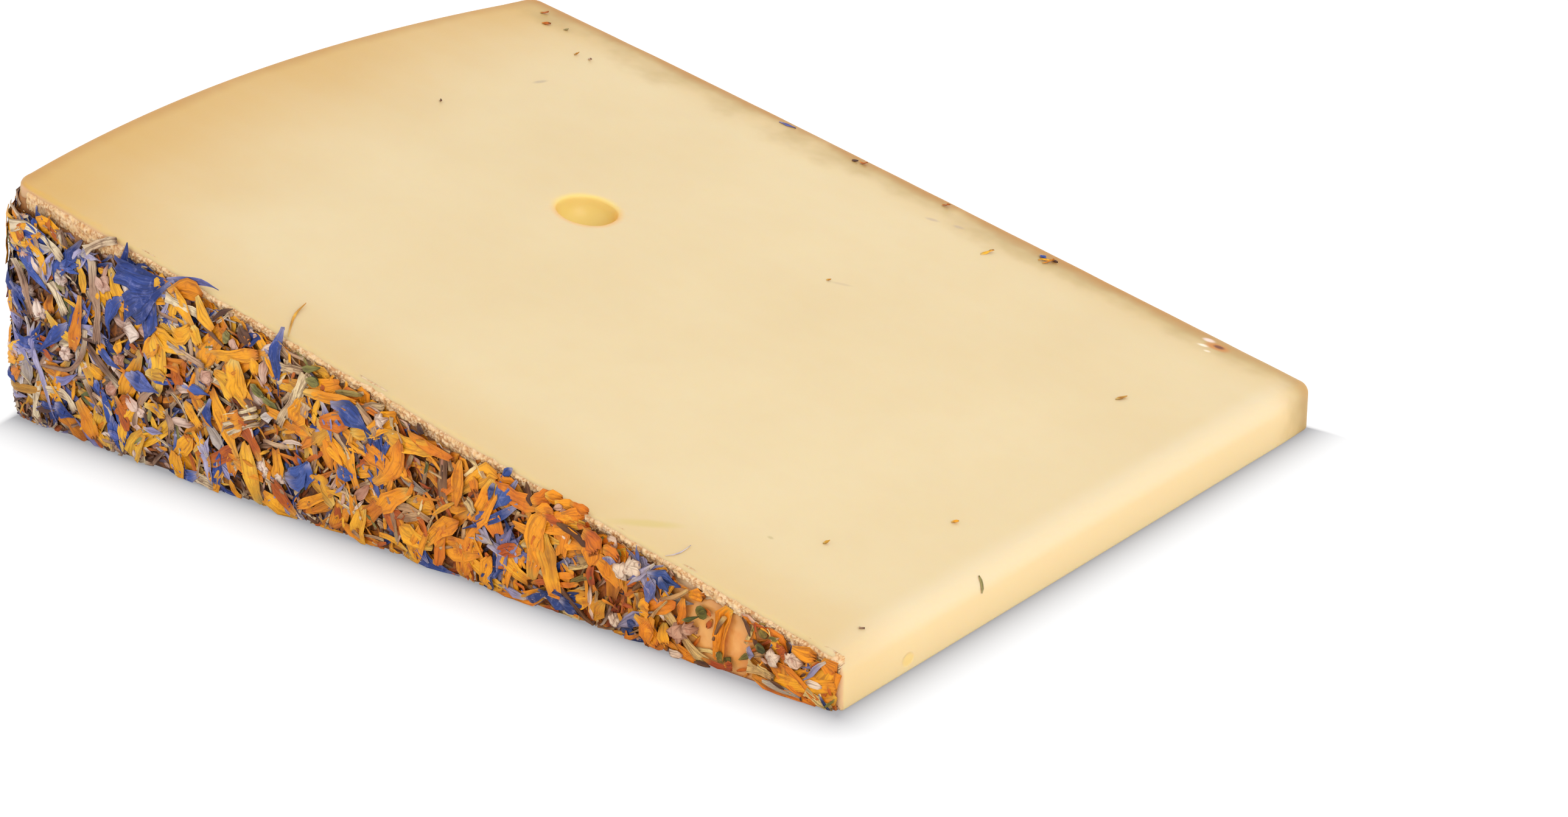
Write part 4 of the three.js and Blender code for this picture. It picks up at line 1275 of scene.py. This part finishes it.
# Bits on the upper cut, by distance from the axis and from the front, and one on the thin end, by height
cutBits = [
    ("deepOrange", 0.6, (145.2, 84.8), (144.3, 85.3)), ("deepOrange", 0.5, (147.4, 87), (146.6, 87.6)),
    ("leaf", 0.45, (142.2, 85.7), (141.8, 86.2)), ("yellow", 0.5, (71.9, 82.7), (71.8, 83.5), (71.4, 84.3)),
    ("ochre", 0.5, (41.5, 67.5), (41.2, 68.3), (41, 69.1)), ("yellow", 0.4, (37.7, 30.3), (37.2, 30.9)),
    ("ochre", 0.4, (43.8, 15.6), (43.4, 16.2)), ("straw", 0.25, (31.6, 6), (31.2, 6.3)),
    ("ochre", 0.3, (79.3, 61.5), (78.9, 61.9)), ("blue", 1, (67.3, 88.9), (66.3, 88.6)),
    ("orange", 0.35, (66.8, 87.7), (65.5, 88.8)), ("orange", 0.3, (66, 87.5), (65.3, 88.8)),
    ("dark", 0.4, (65.7, 89), (64.9, 89.2)), ("violet", 0.6, (108.8, 89.4), (106.4, 89.8)),
    ("dark", 0.5, (96.7, 89), (95.9, 89.2)), ("deepOrange", 0.5, (95.7, 89.3), (94.8, 89.6)),
    ("deepOrange", 0.4, (82.6, 89.2), (81.8, 89.4)), ("straw", 0.25, (137.2, 56.8), (136.9, 56.6)),
    ("ochre", 0.3, (136.5, 81.3), (136.2, 81.9)), ("straw", 0.25, (134.6, 82), (134, 81.7)),
    ("ochre", 0.3, (107.2, 0.2), (108, 1.2), (110.2, 4.2), (111, 6.8)),
    ("greyPetal", 0.2, (52.6, 0.2), (51.8, 1.2), (52.2, 3.9)),
]
tipBits = [("leaf", 0.45, (4.1, 24.1), (5, 24.4), (5.9, 24.6))]


def layAll(strokes, face, shift, seed, columns=7):
    draw = np.random.default_rng(seed)
    for name, width, *path in strokes:
        layPetal(name, piles[face], [(shift + a, b) for a, b in path], width, draw, columns, over=-1.2)
    print("laid by hand on the", face + ":", len(strokes))


layAll(frontPetals, "front", tipFromAxis, 77)
for number, face in enumerate(("front", "back", "rind")):
    fineBits(face, 90 + number)
layAll(cutBits, "cut", 0, 78)
layAll(tipBits, "tip", 0, 79)


# Each heap's slot, its tints from one end to the other, the colours of a petal's foot, tip, sheen and
# mottling, how strong its veins are, how rough it is and how far oil stains it towards the thin end
lookKeys = ("slot", "tints", "foot", "tip", "sheen", "mottle", "veins", "rough", "stain")
lookRows = {
    "bluePetals": ("blue_petals", ("#1A2860", "#283F88", "#3E569E", "#6262A0"), "#A9A4C4", "#26326E",
                   "#A4AEE0", "#8488C0", 0.55, 0.5, 0.3),
    "fadedPetals": ("faded_petals", ("#7874A8", "#A29ABC", "#C8BCB8", "#A09082"), "#DCCBB6", "#6E6C9C",
                    "#EEE6E4", "#7A7298", 0.6, 0.5, 0.3),
    "orangePetals": ("orange_petals", ("#A44A08", "#C66C06", "#DC8C06", "#ECA60E"), "#D8A04A", "#B45A18",
                     "#F6C060", "#8E380A", 0.5, 0.45, 0.85),
    "yellowPetals": ("yellow_petals", ("#DA8604", "#E49C08", "#E8AE28", "#AC7826"), "#E2C474", "#D0821C",
                     "#FADC8C", "#C46A0A", 0.5, 0.45, 0.85),
    "strawBits": ("straw_bits", ("#664430", "#94705A", "#BC987C", "#E2CEAA"), "#C9B496", "#86604A",
                  "#F2E4D0", "#6C4830", 0.8, 0.55, 0.65),
    "leafBits": ("leaf_bits", ("#444C24", "#626434", "#807C44", "#9C8C56"), "#A89A68", "#3E3A20", "#C8C08C",
                 "#2E2E14", 0.6, 0.55, 0.7),
    "blossoms": ("blossoms", ("#AE7860", "#CCA490", "#E6D0C0", "#C0ACA0"), "#9A6A52", "#8E4A38", "#F6ECE4",
                 "#A4604A", 0.5, 0.5, 0.25),
    "darkBits": ("dark_bits", ("#44261C", "#5E3A28", "#704A36", "#4A343A"), "#7A5A42", "#241612", "#A88468",
                 "#1E120E", 0.6, 0.45, 0.8),
}
petalLooks = {name: dict(zip(lookKeys, row)) for name, row in lookRows.items()}


# the last colour is painted shade for petals that lie deep in the pile
petalShade = {"vein": "#80685A", "stain": "#FEDA54", "pileShade": "#7E4C28"}  # each is multiplied in


def petalFinish(name, colours):
    look = Finish(name)
    place = look.place()
    across, along, share, tint, deep = [look.mark(key) for key in "across along share tint deep".split()]
    stops = [(i / 3, tone(code)) for i, code in enumerate(colours["tints"])]
    drift = look.noise(place, 0.35, 2, 0.5)
    look.colour = look.add("ValToRGB", {"stops": stops}, {"Fac": tint + (drift - 0.5) * 0.7})
    fibres = look.add("CombineXYZ", values={0: across * 3.2 + tint * 60, 1: along * 0.22, 2: tint * 31})
    vein = look.noise(fibres, 1.0, 3, 0.65, 0.3)
    mottle = look.noise(place, 0.9, 4, 0.65, 0.5)
    look.paint(mottle.fade(0.5, 0.72) * 0.5, colours["mottle"])
    foot = (share + (vein - 0.5) * 0.5).fade(0.34, 0.02)
    look.paint(foot * 0.75, colours["foot"])
    tip = (share + (vein - 0.5) * 0.3).fade(0.82, 1.02)
    look.paint(tip * 0.6, colours["tip"])
    dark = look.blend(1.0, look.colour, tone(petalShade["vein"]), "MULTIPLY")
    look.paint(vein.fade(0.55, 0.34) * colours["veins"], dark)
    light = look.blend(0.5, look.colour, tone(colours["sheen"]))
    look.paint(vein.fade(0.58, 0.74) * colours["veins"] * 0.6, light)
    stained = look.blend(1.0, look.colour, tone(petalShade["stain"]), "MULTIPLY")
    towardsTip = look.split(place)[0].fade(-45, 45)
    look.paint(towardsTip * deep.fade(-0.6, -0.1) * colours["stain"], stained)
    # painted shade: petals darker the deeper they lie in the pile, under the others
    pileShade = look.blend(1.0, look.colour, tone(petalShade["pileShade"]), "MULTIPLY")
    look.paint(deep.fade(0.12, 0.85) * 0.9, pileShade)
    return look.surface(
        Base_Color=look.colour,
        Roughness=colours["rough"] + 0.15 * vein,
        IOR=1.38,
        Normal=look.bump(vein, 0.8, 0.3),
    )


for name, heap in heaps.items():
    marks = {key: np.concatenate(values) for key, values in heap.marks.items()}
    look = petalLooks[name]
    points, quads = np.concatenate(heap.points), np.concatenate(heap.quads)
    piece = makePiece(name, points, quads, petalFinish(name, look), marks, crease=48)
    print(name, "made:", sum(len(q) for q in heap.quads) * 2, "triangles")


# Floor, light and camera

studio = {
    "azimuth": 38.045,
    "elevation": 23.207,
    "target": (12.475, 12.23, 0.0),
    "distance": 457.6,
    "lens": 88.28,
    "sensor": 36.0,
    "sky": 1.16,
    "key": {"place": (0.85, -0.3, 0.42), "size": 0.6, "power": 3.8, "colour": (1.0, 0.98, 0.95)},
    "fill": {"place": (-0.35, -0.85, 0.4), "size": 0.8, "power": 0.75, "colour": (1, 1, 1)},
    "floorGlow": 0.8,
    "floorTone": 0.3,
    "shadowTone": 0.4,  # of the floor right under the cheese
    "shadeLeft": 0.78,  # how much of the shade is left a millimetre farther off
    "shadeEdges": {"tip": 64.8, "rind": -57.9, "front": -46, "back": 45.6},
}


def makeFloor():
    side = 6.0
    mesh = bpy.data.meshes.new("floor")
    corners = [(-side, -side, 0), (side, -side, 0), (side, side, 0), (-side, side, 0)]
    mesh.from_pydata(corners, [], [(0, 1, 2, 3)])
    floor = bpy.data.objects.new("floor", mesh)
    bpy.context.scene.collection.objects.link(floor)
    look = Finish("paleFloor")
    x, y, z = look.split(look.place())
    edges = studio["shadeEdges"]
    rindAside = edges["rind"] - x - (1 - y * y / halfHeight ** 2) * wheel["bulge"]
    asideX = (x - edges["tip"]).largest(rindAside * 6).largest(0.0)
    asideY = (edges["front"] - y).largest((y - edges["back"]) * 8).largest(0.0)
    away = (asideX * asideX + asideY * asideY) ** 0.5
    shade = studio["shadeLeft"] ** away
    glow = look.blend(shade, (1, 1, 1, 1), (studio["shadowTone"],) * 2 + (studio["shadowTone"] * 1.04, 1))
    colour = look.blend(1.0, glow, (studio["floorTone"],) * 3 + (1,), "MULTIPLY")
    mesh.materials.append(look.surface(Base_Color=colour, Roughness=0.8, Specular_IOR_Level=0.1,
                                       Emission_Color=glow, Emission_Strength=studio["floorGlow"]))


def makeLight(name):  # it shines on the middle of the foot
    lamp = bpy.data.lights.new(name, "AREA")
    lamp.shape = "DISK"
    lamp.size = studio[name]["size"]
    lamp.energy = studio[name]["power"]
    lamp.color = studio[name]["colour"]
    light = bpy.data.objects.new(name, lamp)
    light.location = studio[name]["place"]
    light.rotation_euler = (-Vector(light.location)).to_track_quat("-Z", "Y").to_euler()
    bpy.context.scene.collection.objects.link(light)


def makeCamera():
    azimuth, elevation = math.radians(studio["azimuth"]), math.radians(studio["elevation"])
    flat = math.cos(elevation)
    back = Vector((math.sin(azimuth) * flat, -math.cos(azimuth) * flat, math.sin(elevation)))
    target = Vector(studio["target"]) * mm
    data = bpy.data.cameras.new("camera")
    data.lens = studio["lens"]
    data.sensor_width = studio["sensor"]
    data.clip_start = 0.01
    camera = bpy.data.objects.new("camera", data)
    camera.location = target + back * studio["distance"] * mm
    camera.rotation_euler = (-back).to_track_quat("-Z", "Y").to_euler()
    bpy.context.scene.collection.objects.link(camera)
    bpy.context.scene.camera = camera


world = bpy.data.worlds.new("studio")
world.use_nodes = True
world.node_tree.nodes["Background"].inputs["Color"].default_value = (1, 1, 1, 1)
world.node_tree.nodes["Background"].inputs["Strength"].default_value = studio["sky"]
bpy.context.scene.world = world
makeFloor()
makeLight("key")
makeLight("fill")
makeCamera()
bpy.context.scene.view_settings.view_transform = "Standard"

print("scene ready")
